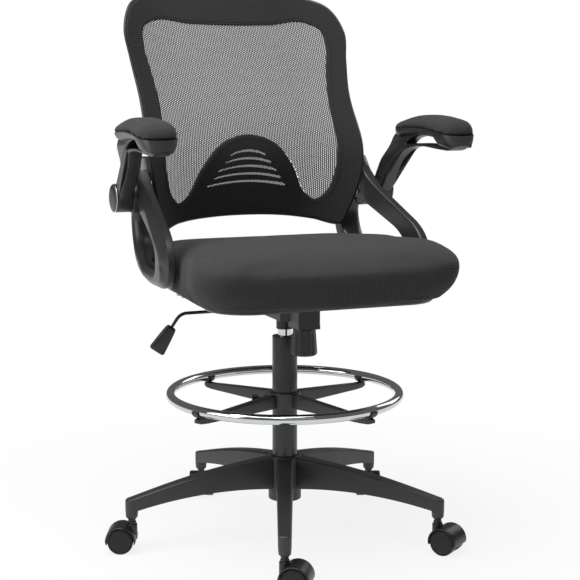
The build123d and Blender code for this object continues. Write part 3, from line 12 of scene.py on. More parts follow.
import bmesh
import bpy
import numpy as np
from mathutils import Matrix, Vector

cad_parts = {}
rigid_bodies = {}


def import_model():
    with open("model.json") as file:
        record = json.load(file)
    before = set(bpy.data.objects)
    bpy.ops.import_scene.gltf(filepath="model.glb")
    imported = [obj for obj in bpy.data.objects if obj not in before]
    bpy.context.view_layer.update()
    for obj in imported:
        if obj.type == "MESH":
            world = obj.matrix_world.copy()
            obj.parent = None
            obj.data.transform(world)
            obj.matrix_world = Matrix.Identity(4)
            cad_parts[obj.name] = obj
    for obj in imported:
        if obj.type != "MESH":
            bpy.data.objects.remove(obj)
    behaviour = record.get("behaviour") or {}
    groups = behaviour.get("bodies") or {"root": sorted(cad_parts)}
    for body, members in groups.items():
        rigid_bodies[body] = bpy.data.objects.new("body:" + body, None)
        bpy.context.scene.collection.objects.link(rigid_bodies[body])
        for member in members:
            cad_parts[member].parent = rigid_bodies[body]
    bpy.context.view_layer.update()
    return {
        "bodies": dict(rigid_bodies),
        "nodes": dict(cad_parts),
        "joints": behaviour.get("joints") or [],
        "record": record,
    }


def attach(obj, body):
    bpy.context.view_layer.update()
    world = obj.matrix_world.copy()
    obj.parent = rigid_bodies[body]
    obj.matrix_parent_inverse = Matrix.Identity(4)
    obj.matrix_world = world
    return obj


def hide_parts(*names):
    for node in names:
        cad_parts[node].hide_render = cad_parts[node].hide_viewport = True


LOG = logging.getLogger("drafting_chair")
MM = 0.001
Span = tuple[float, float]


class Side(Enum):
    """A side of the chair, with its sign along X."""

    LEFT = 1.0
    RIGHT = -1.0

    @property
    def word(self) -> str:
        """The side's name as the frame's nodes spell it."""
        return self.name.lower()


# Colour and node helpers


def linear(code: str, dim: float = 1.0) -> tuple[float, float, float, float]:
    """Turn an sRGB hex colour into linear light.

    Args:
        code: Six hex digits after a hash sign.
        dim: A factor on the light.

    Returns:
        Linear red, green and blue with an alpha of one.
    """
    values = np.array([int(code[i:i + 2], 16) for i in (1, 3, 5)]) / 255.0
    curve = np.where(values <= 0.04045, values / 12.92, ((values + 0.055) / 1.055) ** 2.4)
    return (*(float(v) for v in dim * curve), 1.0)


def add_node(
    tree: bpy.types.NodeTree, kind: str, settings: dict | None = None, **links
) -> bpy.types.Node:
    """Add one node, set its properties and socket values, and link its inputs.

    Args:
        tree: The node tree to add to.
        kind: The node's type name, after ShaderNode.
        settings: Property names, or names or numbers of input sockets, with their values.
        **links: Names of input sockets, with _ for a space, or Input_ and a number, with what feeds
            them: a socket, or a node for its first output.

    Returns:
        The new node.
    """
    node = tree.nodes.new(f"ShaderNode{kind}")
    for name, value in (settings or {}).items():
        if isinstance(name, int) or name in node.inputs:
            node.inputs[name].default_value = value
        else:
            setattr(node, name, value)
    for name, source in links.items():
        number = name.removeprefix("Input_")
        key = int(number) if number.isdigit() else name.replace("_", " ")
        socket = source.outputs[0] if isinstance(source, bpy.types.Node) else source
        tree.links.new(socket, node.inputs[key])
    return node


def blank_material(name: str) -> tuple[bpy.types.Material, bpy.types.NodeTree, bpy.types.NodeSocket]:
    """Start an empty node material.

    Args:
        name: The material's name.

    Returns:
        The material, its node tree and the socket with the place on the piece.
    """
    material = bpy.data.materials.new(name)
    material.use_nodes = True
    tree = material.node_tree
    tree.nodes.clear()
    return material, tree, add_node(tree, "TexCoord").outputs["Object"]


def per_metre(size_mm: float) -> float:
    """The scale of a pattern whose features have a size in millimetres."""
    return 1.0 / (size_mm * MM)


# Finishes: what each surface is and how it was made


@dataclass(frozen=True)
class MouldedPlastic:
    """Glass-filled nylon or ABS from a spark-eroded mould: satin, with a fine grain that breaks up glints."""

    name: str
    colour: str
    roughness: float = 0.46
    grain_mm: float = 0.9
    grain_depth_mm: float = 0.05
    specular: float = 0.5
    shade_change: float = 0.16
    smoother: float = 0.07
    rougher: float = 0.09
    cloud_mm: float = 1000.0 / 14.0

    def build(self) -> bpy.types.Material:
        """Grain is noise as wide as the mould's texture; slow noise shifts shade and gloss as handling does.

        Returns:
            The finished material.
        """
        material, tree, place = blank_material(self.name)
        grain = add_node(tree, "TexNoise", {"Scale": per_metre(self.grain_mm), "Detail": 2.0}, Vector=place)
        slow = add_node(tree, "TexNoise", {"Scale": per_metre(self.cloud_mm), "Detail": 3.0}, Vector=place)
        shades = {"To Min": 1.0 - self.shade_change, "To Max": 1.0 + self.shade_change}
        shade = add_node(tree, "MapRange", shades, Value=slow)
        tint = add_node(tree, "HueSaturation", {"Color": linear(self.colour)}, Value=shade)
        glosses = {"To Min": self.roughness - self.smoother, "To Max": self.roughness + self.rougher}
        gloss = add_node(tree, "MapRange", glosses, Value=slow)
        relief = {"Strength": 0.45, "Distance": self.grain_depth_mm * MM}
        bump = add_node(tree, "Bump", relief, Height=grain)
        optics = {"IOR": 1.53, "Specular IOR Level": self.specular}
        surface = add_node(tree, "BsdfPrincipled", optics, Base_Color=tint, Roughness=gloss, Normal=bump)
        add_node(tree, "OutputMaterial", Surface=surface)
        return material


@dataclass(frozen=True)
class CoatedSteel:
    """Powder-coated steel tube or plate: satin, with the shallow orange peel of the baked coat."""

    name: str
    colour: str
    roughness: float = 0.34
    peel_mm: float = 1.6
    peel_depth_mm: float = 0.03
    peel_shade: float = 0.8

    def build(self) -> bpy.types.Material:
        """Peel is smooth noise that bends the highlight a little.

        Returns:
            The finished material.
        """
        material, tree, place = blank_material(self.name)
        peel = add_node(tree, "TexNoise", {"Scale": per_metre(self.peel_mm), "Detail": 1.0}, Vector=place)
        shades = {"data_type": "RGBA", 6: linear(self.colour), 7: linear(self.colour, self.peel_shade)}
        tint = add_node(tree, "Mix", shades, Factor=peel)
        relief = {"Strength": 0.3, "Distance": self.peel_depth_mm * MM}
        bump = add_node(tree, "Bump", relief, Height=peel)
        optics = {"Roughness": self.roughness, "IOR": 1.5}
        surface = add_node(tree, "BsdfPrincipled", optics, Base_Color=tint.outputs[2], Normal=bump)
        add_node(tree, "OutputMaterial", Surface=surface)
        return material


@dataclass(frozen=True)
class PlatedMetal:
    """Chrome or zinc plate on polished steel: mirror bright, or dulled, with a breath of haze along it."""

    name: str
    colour: str
    roughness: float
    haze: float = 0.04
    haze_mm: float = 25.0

    def build(self) -> bpy.types.Material:
        """Haze is slow noise that only changes the roughness.

        Returns:
            The finished material.
        """
        material, tree, place = blank_material(self.name)
        cloud = add_node(tree, "TexNoise", {"Scale": per_metre(self.haze_mm), "Detail": 4.0}, Vector=place)
        glosses = {"To Min": self.roughness, "To Max": self.roughness + self.haze}
        gloss = add_node(tree, "MapRange", glosses, Value=cloud)
        optics = {"Base Color": linear(self.colour), "Metallic": 1.0}
        surface = add_node(tree, "BsdfPrincipled", optics, Roughness=gloss)
        add_node(tree, "OutputMaterial", Surface=surface)
        return material


@dataclass(frozen=True)
class SpacerFabric:
    """Polyester spacer fabric: a knitted face of fine crossing ridges, with painted shade darkening the pits
    between them.
    """

    name: str
    colour: str
    # The darker colour painted into the pits between the ridges is painted shade.
    ground: str
    ridge_mm: float = 5.0
    ways: tuple = ((1.0, 0.25, 0.25), (-0.35, 1.0, 1.0))
    yarn_mm: float = 0.7
    depth_mm: float = 0.35
    fuzz_mm: float = 0.12
    sheen: float = 0.06
    fade: Span = (0.55, 0.88)

    def build(self) -> bpy.types.Material:
        """Ridges are two plane waves that cross on every face of the piece, and the pits between them take a
        darker colour as painted shade; yarn is fine noise on top.

        A wave fades out where the face turns towards it, so that it draws no rings there. The ridges are
        about twice as coarse as the real knit, so that they show at a few pixels.

        Returns:
            The finished material.
        """
        material, tree, place = blank_material(self.name)
        facing = add_node(tree, "TexCoord").outputs["Normal"]
        start, end = self.fade
        fading = {"From Min": start, "From Max": end, "To Min": 1.0, "To Max": 0.0}
        waves = []
        for way in self.ways:
            along = np.array(way) / np.linalg.norm(way)
            steps = tuple(along * 2 * np.pi / (self.ridge_mm * MM))
            phase = add_node(tree, "VectorMath", {"operation": "DOT_PRODUCT", 1: steps}, Input_0=place)
            ridge = add_node(tree, "Math", {"operation": "SINE"}, Input_0=phase.outputs["Value"])
            lean = {"operation": "DOT_PRODUCT", 1: tuple(along)}
            tilt = add_node(tree, "VectorMath", lean, Input_0=facing)
            head_on = add_node(tree, "Math", {"operation": "ABSOLUTE"}, Input_0=tilt.outputs["Value"])
            fade = add_node(tree, "MapRange", fading, Value=head_on)
            wave = add_node(tree, "Math", {"operation": "MULTIPLY"}, Input_0=ridge, Input_1=fade)
            waves.append(wave)
        crossed = add_node(tree, "Math", {"operation": "ADD"}, Input_0=waves[0], Input_1=waves[1])
        lift = add_node(tree, "MapRange", {"From Min": -1.6, "From Max": 0.9}, Value=crossed)
        yarn = add_node(tree, "TexNoise", {"Scale": per_metre(self.yarn_mm), "Detail": 2.0}, Vector=place)
        # The low pits mix towards the darker colour as painted shade, the raised ridges towards the lighter
        # one.
        shades = {"data_type": "RGBA", 6: linear(self.ground), 7: linear(self.colour)}
        tint = add_node(tree, "Mix", shades, Factor=lift)
        speck = add_node(tree, "MapRange", {"To Min": 0.75, "To Max": 1.25}, Value=yarn)
        shade = add_node(tree, "HueSaturation", Value=speck, Color=tint.outputs[2])
        relief = {"Strength": 0.8, "Distance": self.depth_mm * MM}
        weave = add_node(tree, "Bump", relief, Height=lift)
        hairs = {"Strength": 0.4, "Distance": self.fuzz_mm * MM}
        fuzz = add_node(tree, "Bump", hairs, Height=yarn, Normal=weave)
        optics = {
            "Roughness": 0.86, "Sheen Weight": self.sheen, "Sheen Roughness": 0.5, "Specular IOR Level": 0.15,
        }
        surface = add_node(tree, "BsdfPrincipled", optics, Base_Color=shade, Normal=fuzz)
        add_node(tree, "OutputMaterial", Surface=surface)
        return material


@dataclass(frozen=True)
class MeshYarn:
    """Twisted polyester yarn of the open back mesh: matt, with the light and dark of its lay."""

    name: str
    colour: str
    lay_mm: float = 1.2

    def build(self) -> bpy.types.Material:
        """Lay is a band pattern across the yarn that shifts the shade.

        Returns:
            The finished material.
        """
        material, tree, place = blank_material(self.name)
        bands = {"bands_direction": "DIAGONAL", "Scale": 0.3 / (self.lay_mm * MM), "Distortion": 2.0}
        lay = add_node(tree, "TexWave", bands, Vector=place)
        shade = add_node(tree, "MapRange", {"To Min": 0.8, "To Max": 1.2}, Value=lay.outputs["Fac"])
        tint = add_node(tree, "HueSaturation", {"Color": linear(self.colour)}, Value=shade)
        optics = {"Roughness": 0.7, "Sheen Weight": 0.2}
        surface = add_node(tree, "BsdfPrincipled", optics, Base_Color=tint)
        add_node(tree, "OutputMaterial", Surface=surface)
        return material


# The border's ridges run level and upright
UPRIGHT = ((1.0, 0.0, 0.0), (0.0, 0.0, 1.0))


class Finish(Enum):
    """The chair's finishes, each with the record's slot that it fills."""

    BASE = ("base_nylon", MouldedPlastic("glass_filled_nylon_grey", "#303133", 0.42, 1.1, 0.06))
    BLACK = ("black_nylon", MouldedPlastic("moulded_nylon_black", "#161616", 0.36, 0.8, 0.04))
    WHEEL = ("wheel_nylon", MouldedPlastic("wheel_nylon_black", "#141415", 0.38, 1.4, 0.03, 0.35))
    BRACKET = ("bracket_plastic", MouldedPlastic("moulded_abs_grey", "#292929", 0.36, 0.9, 0.05))
    COLUMN = ("column_paint", CoatedSteel("coated_steel_grey", "#313234", 0.3))
    MECHANISM = ("mechanism_paint", CoatedSteel("coated_steel_black", "#141414", 0.4))
    CHROME = ("chrome", PlatedMetal("chrome_plate", "#cccfd1", 0.05))
    STEEL = ("steel", PlatedMetal("zinc_plate", "#b4b6b8", 0.26, 0.1, 6.0))
    # Each spacer fabric's second colour is painted shade for the pits between its ridges.
    SEAT = ("seat_fabric", SpacerFabric("spacer_fabric_seat", "#3f3f3f", "#2b2b2b", 4.4))
    PAD = ("pad_fabric", SpacerFabric("spacer_fabric_pad", "#3c3c3c", "#2a2a2a", 4.0))
    BORDER = ("back_fabric", SpacerFabric("spacer_fabric_back", "#2e2e2e", "#202020", 4.2, UPRIGHT))
    MESH = ("mesh_fabric", MeshYarn("mesh_yarn_grey", "#3a3a3a"))

    @property
    def slot(self) -> str:
        """The record's material slot."""
        return self.value[0]


class Wardrobe:
    """Builds each finish once and puts it on pieces and on carried-over nodes."""

    def __init__(self, frame: dict) -> None:
        """Keep the frame and start with no materials.
        """
        self.frame = frame
        self.made: dict[Finish, bpy.types.Material] = {}
        self.slots = {part["node"]: part["material_slot"] for part in frame["record"]["subparts"]}

    def material(self, finish: Finish) -> bpy.types.Material:
        """The material of a finish, built when it is first asked for."""
        if finish not in self.made:
            self.made[finish] = finish.value[1].build()
        return self.made[finish]

    def dress(self, piece: bpy.types.Object, finish: Finish) -> None:
        """Give a piece one finish."""
        piece.data.materials.clear()
        piece.data.materials.append(self.material(finish))

    def dress_nodes(self) -> None:
        """Give every carried-over node the finish of its record slot."""
        by_slot = {finish.slot: finish for finish in Finish}
        for name, node in self.frame["nodes"].items():
            node.data.materials.clear()
            node.data.materials.append(self.material(by_slot[self.slots[name]]))


# Surfaces worked out as whole arrays

UP = np.array((0.0, 0.0, 1.0))


@dataclass
class Patch:
    """One surface: its points and its four-sided faces."""

    points: np.ndarray
    faces: np.ndarray


@dataclass(frozen=True)
class Axes:
    """A local frame: an origin and three unit directions, of which the third is the axis of turning."""

    origin: np.ndarray
    first: np.ndarray
    second: np.ndarray
    third: np.ndarray

    def place(self, local: np.ndarray) -> np.ndarray:
        """Carry points from this frame into the chair's frame."""
        basis = np.stack([self.first, self.second, self.third])
        return self.origin + local @ basis


def axes_along(origin: tuple, axis: tuple, towards: tuple = (0.0, 0.0, 1.0)) -> Axes:
    """A frame on an axis.

    Args:
        origin: The frame's origin.
        axis: The direction of its third axis.
        towards: A direction that its second axis leans to.

    Returns:
        The frame.
    """
    third = np.asarray(axis, float) / np.linalg.norm(axis)
    first = np.cross(np.asarray(towards, float), third)
    if np.linalg.norm(first) < 1e-6:
        first = np.cross((0.0, 1.0, 0.0), third)
    first = first / np.linalg.norm(first)
    return Axes(np.asarray(origin, float), first, np.cross(third, first), third)


COLUMN_AXIS = axes_along((0.0, 0.0, 0.0), (0.0, 0.0, 1.0))


def bearing(angle: float) -> np.ndarray:
    """The level unit vector at an angle, in radians, from +X towards +Y."""
    return np.array((np.cos(angle), np.sin(angle), 0.0))


def grid(points: np.ndarray, round_rows: bool = False, round_columns: bool = False) -> Patch:
    """Join a grid of points with four-sided faces.

    Args:
        points: Points by row and column.
        round_rows: Whether the last row joins the first.
        round_columns: Whether the last column joins the first.

    Returns:
        The surface.
    """
    rows, columns = points.shape[:2]
    index = np.arange(rows * columns).reshape(rows, columns)
    if round_rows:
        index = np.concatenate([index, index[:1]], 0)
    if round_columns:
        index = np.concatenate([index, index[:, :1]], 1)
    corners = [index[:-1, :-1], index[1:, :-1], index[1:, 1:], index[:-1, 1:]]
    return Patch(points.reshape(-1, 3), np.stack(corners, -1).reshape(-1, 4))


def closed_ends(points: np.ndarray) -> np.ndarray:
    """Add a row at each end of a grid, drawn together at the middle of the row beside it."""
    first = np.broadcast_to(points[:1].mean(1, keepdims=True), points[:1].shape)
    last = np.broadcast_to(points[-1:].mean(1, keepdims=True), points[-1:].shape)
    return np.concatenate([first, points, last], 0)


def smoothstep(share: np.ndarray) -> np.ndarray:
    """A smooth rise from 0 to 1 while the share goes from 0 to 1, by the cubic 3t² - 2t³."""
    t = np.clip(share, 0.0, 1.0)
    return t * t * (3 - 2 * t)


def ramp(value: np.ndarray, start: float, end: float) -> np.ndarray:
    """A smooth rise from 0 to 1 while the value goes from start to end."""
    return smoothstep((value - start) / (end - start))


def left_of(line: np.ndarray) -> np.ndarray:
    """Unit normals to the left of a closed flat line, square to the chord between each point's neighbours."""
    run = np.roll(line, -1, 0) - np.roll(line, 1, 0)
    return np.stack([-run[:, 1], run[:, 0]], 1) / np.linalg.norm(run, axis=1, keepdims=True)


def soften(corners: np.ndarray, reach: float | np.ndarray, steps: int = 6, closed: bool = True) -> np.ndarray:
    """Round a polygon's corners with quadratic curves.

    Each curve starts a reach before its corner and ends a reach after it, at most half an edge away.

    Args:
        corners: Corner points by row.
        reach: How far from a corner its curve starts, for all corners or for each.
        steps: Points on each curve.
        closed: Whether the last corner joins the first; the ends of an open line stay sharp.

    Returns:
        The rounded line.
    """
    corners = np.asarray(corners, float)
    reach = np.broadcast_to(np.asarray(reach, float), len(corners)).copy()
    if not closed:
        reach[[0, -1]] = 0.0
    before = np.roll(corners, 1, 0) - corners
    after = np.roll(corners, -1, 0) - corners
    long_before = np.linalg.norm(before, axis=1, keepdims=True)
    long_after = np.linalg.norm(after, axis=1, keepdims=True)
    start = corners + before / long_before * np.minimum(reach[:, None], long_before / 2)
    end = corners + after / long_after * np.minimum(reach[:, None], long_after / 2)
    t = np.linspace(0.0, 1.0, steps)[None, :, None]
    curve = (1 - t) ** 2 * start[:, None] + 2 * t * (1 - t) * corners[:, None] + t**2 * end[:, None]
    if not closed:
        inner = curve[1:-1].reshape(-1, corners.shape[1])
        return np.concatenate([corners[:1], inner, corners[-1:]], 0)
    return curve.reshape(-1, corners.shape[1])


def spread(line: np.ndarray, count: int, closed: bool = False) -> np.ndarray:
    """Points at even steps along a line.

    Args:
        line: The line's points.
        count: How many points to give.
        closed: Whether the line's end joins its start.

    Returns:
        The evenly spaced points.
    """
    if closed:
        line = np.concatenate([line, line[:1]], 0)
    steps = np.linalg.norm(np.diff(line, axis=0), axis=1)
    along = np.concatenate([[0.0], np.cumsum(steps)])
    at = np.linspace(0.0, along[-1], count, endpoint=not closed)
    return np.stack([np.interp(at, along, line[:, k]) for k in range(line.shape[1])], 1)


def stacked(x: np.ndarray, y: np.ndarray, z: np.ndarray, joined: bool = False) -> Patch:
    """Join rings of points.

    Args:
        x: First coordinate by ring and place along it, in millimetres.
        y: Second coordinate, likewise.
        z: Third coordinate, likewise.
        joined: Whether the last ring joins the first; otherwise both are closed.

    Returns:
        The surface, in metres.
    """
    points = np.stack(np.broadcast_arrays(x, y, z), -1) * MM
    return grid(points if joined else closed_ends(points), round_rows=joined, round_columns=True)


def lathe(
    profile: np.ndarray, axes: Axes, steps: int, swell: np.ndarray | None = None, closed: bool = False
) -> Patch:
    """Turn a profile about an axis.

    Args:
        profile: Radius and height by row.
        axes: The frame whose third axis is the axis.
        steps: Points round the axis.
        swell: A factor on the radius by profile row and step, for flutes.
        closed: Whether the profile's end joins its start, as on a ring.

    Returns:
        The turned surface.
    """
    angle = np.linspace(0.0, 2 * np.pi, steps, endpoint=False)
    radius = np.broadcast_to(profile[:, :1], (len(profile), steps))
    if swell is not None:
        radius = radius * swell
    height = np.broadcast_to(profile[:, 1:2], radius.shape)
    local = np.stack([radius * np.cos(angle), radius * np.sin(angle), height], -1)
    return grid(axes.place(local), round_rows=closed, round_columns=True)


def block(inner: float, outer: float, low: float, high: float) -> tuple:
    """The profile of a turned block: its two radii at its two heights."""
    return (inner, low), (outer, low), (outer, high), (inner, high)


def turned(
    corners: tuple, reach: float | tuple, axes: Axes, steps: int, curve: int, closed: bool = False
) -> Patch:
    """Turn a profile with softened corners about an axis.

    Args:
        corners: Radius and height of each corner, in millimetres.
        reach: How far from a corner its curve starts, for all corners or for each.
        axes: The frame whose third axis is the axis.
        steps: Points round the axis.
        curve: Points on each softened corner.
        closed: Whether the profile's end joins its start, as on a ring.

    Returns:
        The turned surface, in metres.
    """
    return lathe(soften(np.array(corners), np.array(reach), curve, closed) * MM, axes, steps, closed=closed)


def beam(
    path: np.ndarray, across: np.ndarray | tuple, half_across: np.ndarray | float,
    half_deep: np.ndarray | float, power: float, steps: int, closed: bool = False,
) -> Patch:
    """Carry a rounded section along a path.

    The section is a superellipse: a circle at power 2, nearer to a rectangle as the power grows. Its depth
    lies square to the path and to the direction across.

    Args:
        path: The path's points.
        across: The direction across at each point, or one for all.
        half_across: Half of the width at each point.
        half_deep: Half of the depth at each point.
        power: The superellipse's power.
        steps: Points round the section.
        closed: Whether the path joins up with itself.

    Returns:
        The surface, with its ends closed.
    """
    if closed:
        run = np.roll(path, -1, 0) - np.roll(path, 1, 0)
    else:
        run = np.gradient(path, axis=0)
    run = run / np.linalg.norm(run, axis=1, keepdims=True)
    side = np.broadcast_to(np.asarray(across, float), path.shape)
    side = side - run * np.sum(side * run, axis=1, keepdims=True)
    side = side / np.linalg.norm(side, axis=1, keepdims=True)
    deep = np.cross(run, side)
    angle = np.linspace(0.0, 2 * np.pi, steps, endpoint=False)
    c = np.sign(np.cos(angle)) * np.abs(np.cos(angle)) ** (2 / power)
    s = np.sign(np.sin(angle)) * np.abs(np.sin(angle)) ** (2 / power)
    wide = np.broadcast_to(half_across, len(path))[:, None, None] * c[None, :, None]
    tall = np.broadcast_to(half_deep, len(path))[:, None, None] * s[None, :, None]
    points = path[:, None] + wide * side[:, None] + tall * deep[:, None]
    if closed:
        return grid(points, round_rows=True, round_columns=True)
    return grid(closed_ends(points), round_columns=True)


def round_ends(count: int, share: float, least: float = 0.15) -> np.ndarray:
    """Factors that draw a section in at both ends of a path, along a quarter ellipse.

    Args:
        count: Points on the path.
        share: The part of the path, at each end, over which it is drawn in.
        least: The factor at the very ends.

    Returns:
        One factor for each point.
    """
    along = np.linspace(0.0, 1.0, count)
    near = np.clip(np.minimum(along, 1.0 - along) / share, 0.0, 1.0)
    return least + (1.0 - least) * np.sqrt(1.0 - (1.0 - near) ** 2)


def mirrored(patch: Patch) -> Patch:
    """The same surface on the other side of the centre plane."""
    return Patch(patch.points * np.array((-1.0, 1.0, 1.0)), patch.faces[:, ::-1])


def on_side(side: Side, patches: list[Patch]) -> list[Patch]:
    """Surfaces of the left side as they are, or mirrored for the right one."""
    return patches if side is Side.LEFT else [mirrored(patch) for patch in patches]


def make_piece(name: str, patches: list[Patch], sharp: float = 0.7) -> bpy.types.Object:
    """Make one object of some surfaces.

    Doubled points at poles and seams are merged, faces turned outwards and edges past an angle kept sharp.

    Args:
        name: The piece's name.
        patches: Its surfaces.
        sharp: The angle, in radians, above which an edge stays sharp.

    Returns:
        The object, at the origin.
    """
    starts = np.cumsum([0] + [len(patch.points) for patch in patches[:-1]])
    points = np.concatenate([patch.points for patch in patches])
    faces = np.concatenate([patch.faces + start for patch, start in zip(patches, starts)])
    mesh = bpy.data.meshes.new(name)
    mesh.from_pydata(points, [], faces.tolist())
    work = bmesh.new()
    work.from_mesh(mesh)
    bmesh.ops.remove_doubles(work, verts=work.verts, dist=2e-6)
    bmesh.ops.recalc_face_normals(work, faces=work.faces)
    work.to_mesh(mesh)
    work.free()
    mesh.shade_smooth()
    mesh.set_sharp_from_angle(angle=sharp)
    piece = bpy.data.objects.new(name, mesh)
    bpy.context.scene.collection.objects.link(piece)
    return piece


@dataclass
class Assembly:
    """A sub-assembly: it makes pieces, dresses them and sets them on their bodies."""

    wardrobe: Wardrobe

    def seat_piece(
        self, piece: bpy.types.Object, finish: Finish, body: str, *nodes: str
    ) -> bpy.types.Object:
        """Dress a piece, set it on its body and let it stand for its nodes.

        Args:
            piece: The finished object.
            finish: Its finish.
            body: The body that it moves with.
            *nodes: The nodes that it replaces.

        Returns:
            The same object.
        """
        self.wardrobe.dress(piece, finish)
        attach(piece, body)
        if nodes:
            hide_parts(*nodes)
        LOG.info("%s rides on %s, %d faces", piece.name, body, len(piece.data.polygons))
        return piece


# Star base, casters, column and foot ring


@dataclass
class StarBase(Assembly):
    """Five-legged moulding with a hub; sizes in millimetres."""

    turn: float = 248.0
    legs: int = 5
    hub_radius: float = 33.0
    hub_bore: float = 25.2
    hub_low: float = 79.0
    hub_high: float = 169.0
    leg_end: float = 315.0
    root_width: float = 34.0
    tip_width: float = 25.0
    root_top: float = 167.0
    tip_top: float = 107.2
    root_under: float = 103.0
    mid_under: float = 104.5
    tip_under: float = 81.0
    boss_low: float = 68.6
    wall: float = 4.0
    edge: float = 4.0
    top_crown: float = 0.36
    top_bow: float = 7.0
    root_sunk: float = 6.0
    arch_drop: float = 92.0
    hollow_span: Span = (0.06, 0.92)

    def build(self) -> None:
        """Make hub, legs and caster sockets as one moulding."""
        angles = np.radians(self.turn + np.arange(self.legs) * 360.0 / self.legs)
        patches = [self.hub()]
        for angle in angles:
            patches += [self.leg(angle), self.socket(angle)]
        piece = make_piece("base_moulding", patches)
        self.seat_piece(piece, Finish.BASE, "base", "star_base")

    def hub(self) -> Patch:
        """A ring with rounded rims: a rounded rectangle turned about the column."""
        rim = block(self.hub_bore, self.hub_radius, self.hub_low, self.hub_high)
        return turned(rim, (0.5, 2.0, self.edge, 0.5), COLUMN_AXIS, 72, 6, closed=True)

    def leg(self, angle: float) -> Patch:
        """A hollow leg: an upturned channel section carried outwards while its width and height shrink.

        Args:
            angle: The leg's direction, in radians.

        Returns:
            The leg's surface.
        """
        along = np.linspace(0.0, 1.0, 40)
        root = self.hub_radius - self.root_sunk
        out = root + (self.leg_end - root) * along
        half = (self.root_width + (self.tip_width - self.root_width) * along) / 2
        top = self.root_top + (self.tip_top - self.root_top) * along + self.top_bow * np.sin(np.pi * along)
        knee = 2 * self.mid_under - self.arch_drop
        arch = (1 - along) ** 2 * self.root_under + 2 * along * (1 - along) * knee
        under = arch + along**2 * self.tip_under
        first, last = self.hollow_span
        hollow = np.clip(np.minimum(along - first, last - along) / 0.04, 0.0, 1.0)
        roof = under + (top - self.wall - under) * hollow
        turn = np.linspace(0.0, 0.5 * np.pi, 5)
        left_z = top[:, None] - (self.edge * (1 - np.sin(turn)))[None, :]
        left_t = -(half[:, None] - (self.edge * (1 - np.cos(turn)))[None, :])
        right_t, right_z = -left_t[:, ::-1], left_z[:, ::-1]
        crown_t = np.linspace(-0.6, 0.6, 5)[None, :] * half[:, None]
        camber = 1 - np.linspace(-1.0, 1.0, 5)[None, :] ** 2
        crown_z = top[:, None] + self.top_crown * camber * hollow[:, None]
        inner = half - self.wall
        low_t = np.stack([half, inner, inner, -inner, -inner, -half], 1)
        low_z = np.stack([under, under, roof, roof, under, under], 1)
        across = np.concatenate([left_t, crown_t, right_t, low_t], 1)
        height = np.concatenate([left_z, crown_z, right_z, low_z], 1)
        x = out[:, None] * np.cos(angle) - across * np.sin(angle)
        y = out[:, None] * np.sin(angle) + across * np.cos(angle)
        return stacked(x, y, height)

    def socket(self, angle: float) -> Patch:
        """The round end of a leg: a turned boss whose top slopes as the leg does.

        Args:
            angle: The leg's direction, in radians.

        Returns:
            The socket's surface.
        """
        half = self.tip_width / 2
        rim = (
            (0.0, self.boss_low), (half - 1.0, self.boss_low), (half, self.tip_under),
            (half, self.tip_top), (0.0, self.tip_top),
        )
        out = bearing(angle)
        axes = Axes(out * self.leg_end * MM, out, np.cross(UP, out), UP)
        patch = turned(rim, (0.0, 1.5, 3.0, self.edge, 0.0), axes, 40, 6)
        outward = (patch.points - axes.origin) @ axes.first
        slope = (self.tip_top - self.root_top) / (self.leg_end - self.hub_radius)
        height = patch.points[:, 2] / MM
        lean = np.clip((height - self.tip_under) / (self.tip_top - self.tip_under), 0.0, 1.0)
        patch.points[:, 2] += slope * outward * lean
        return patch


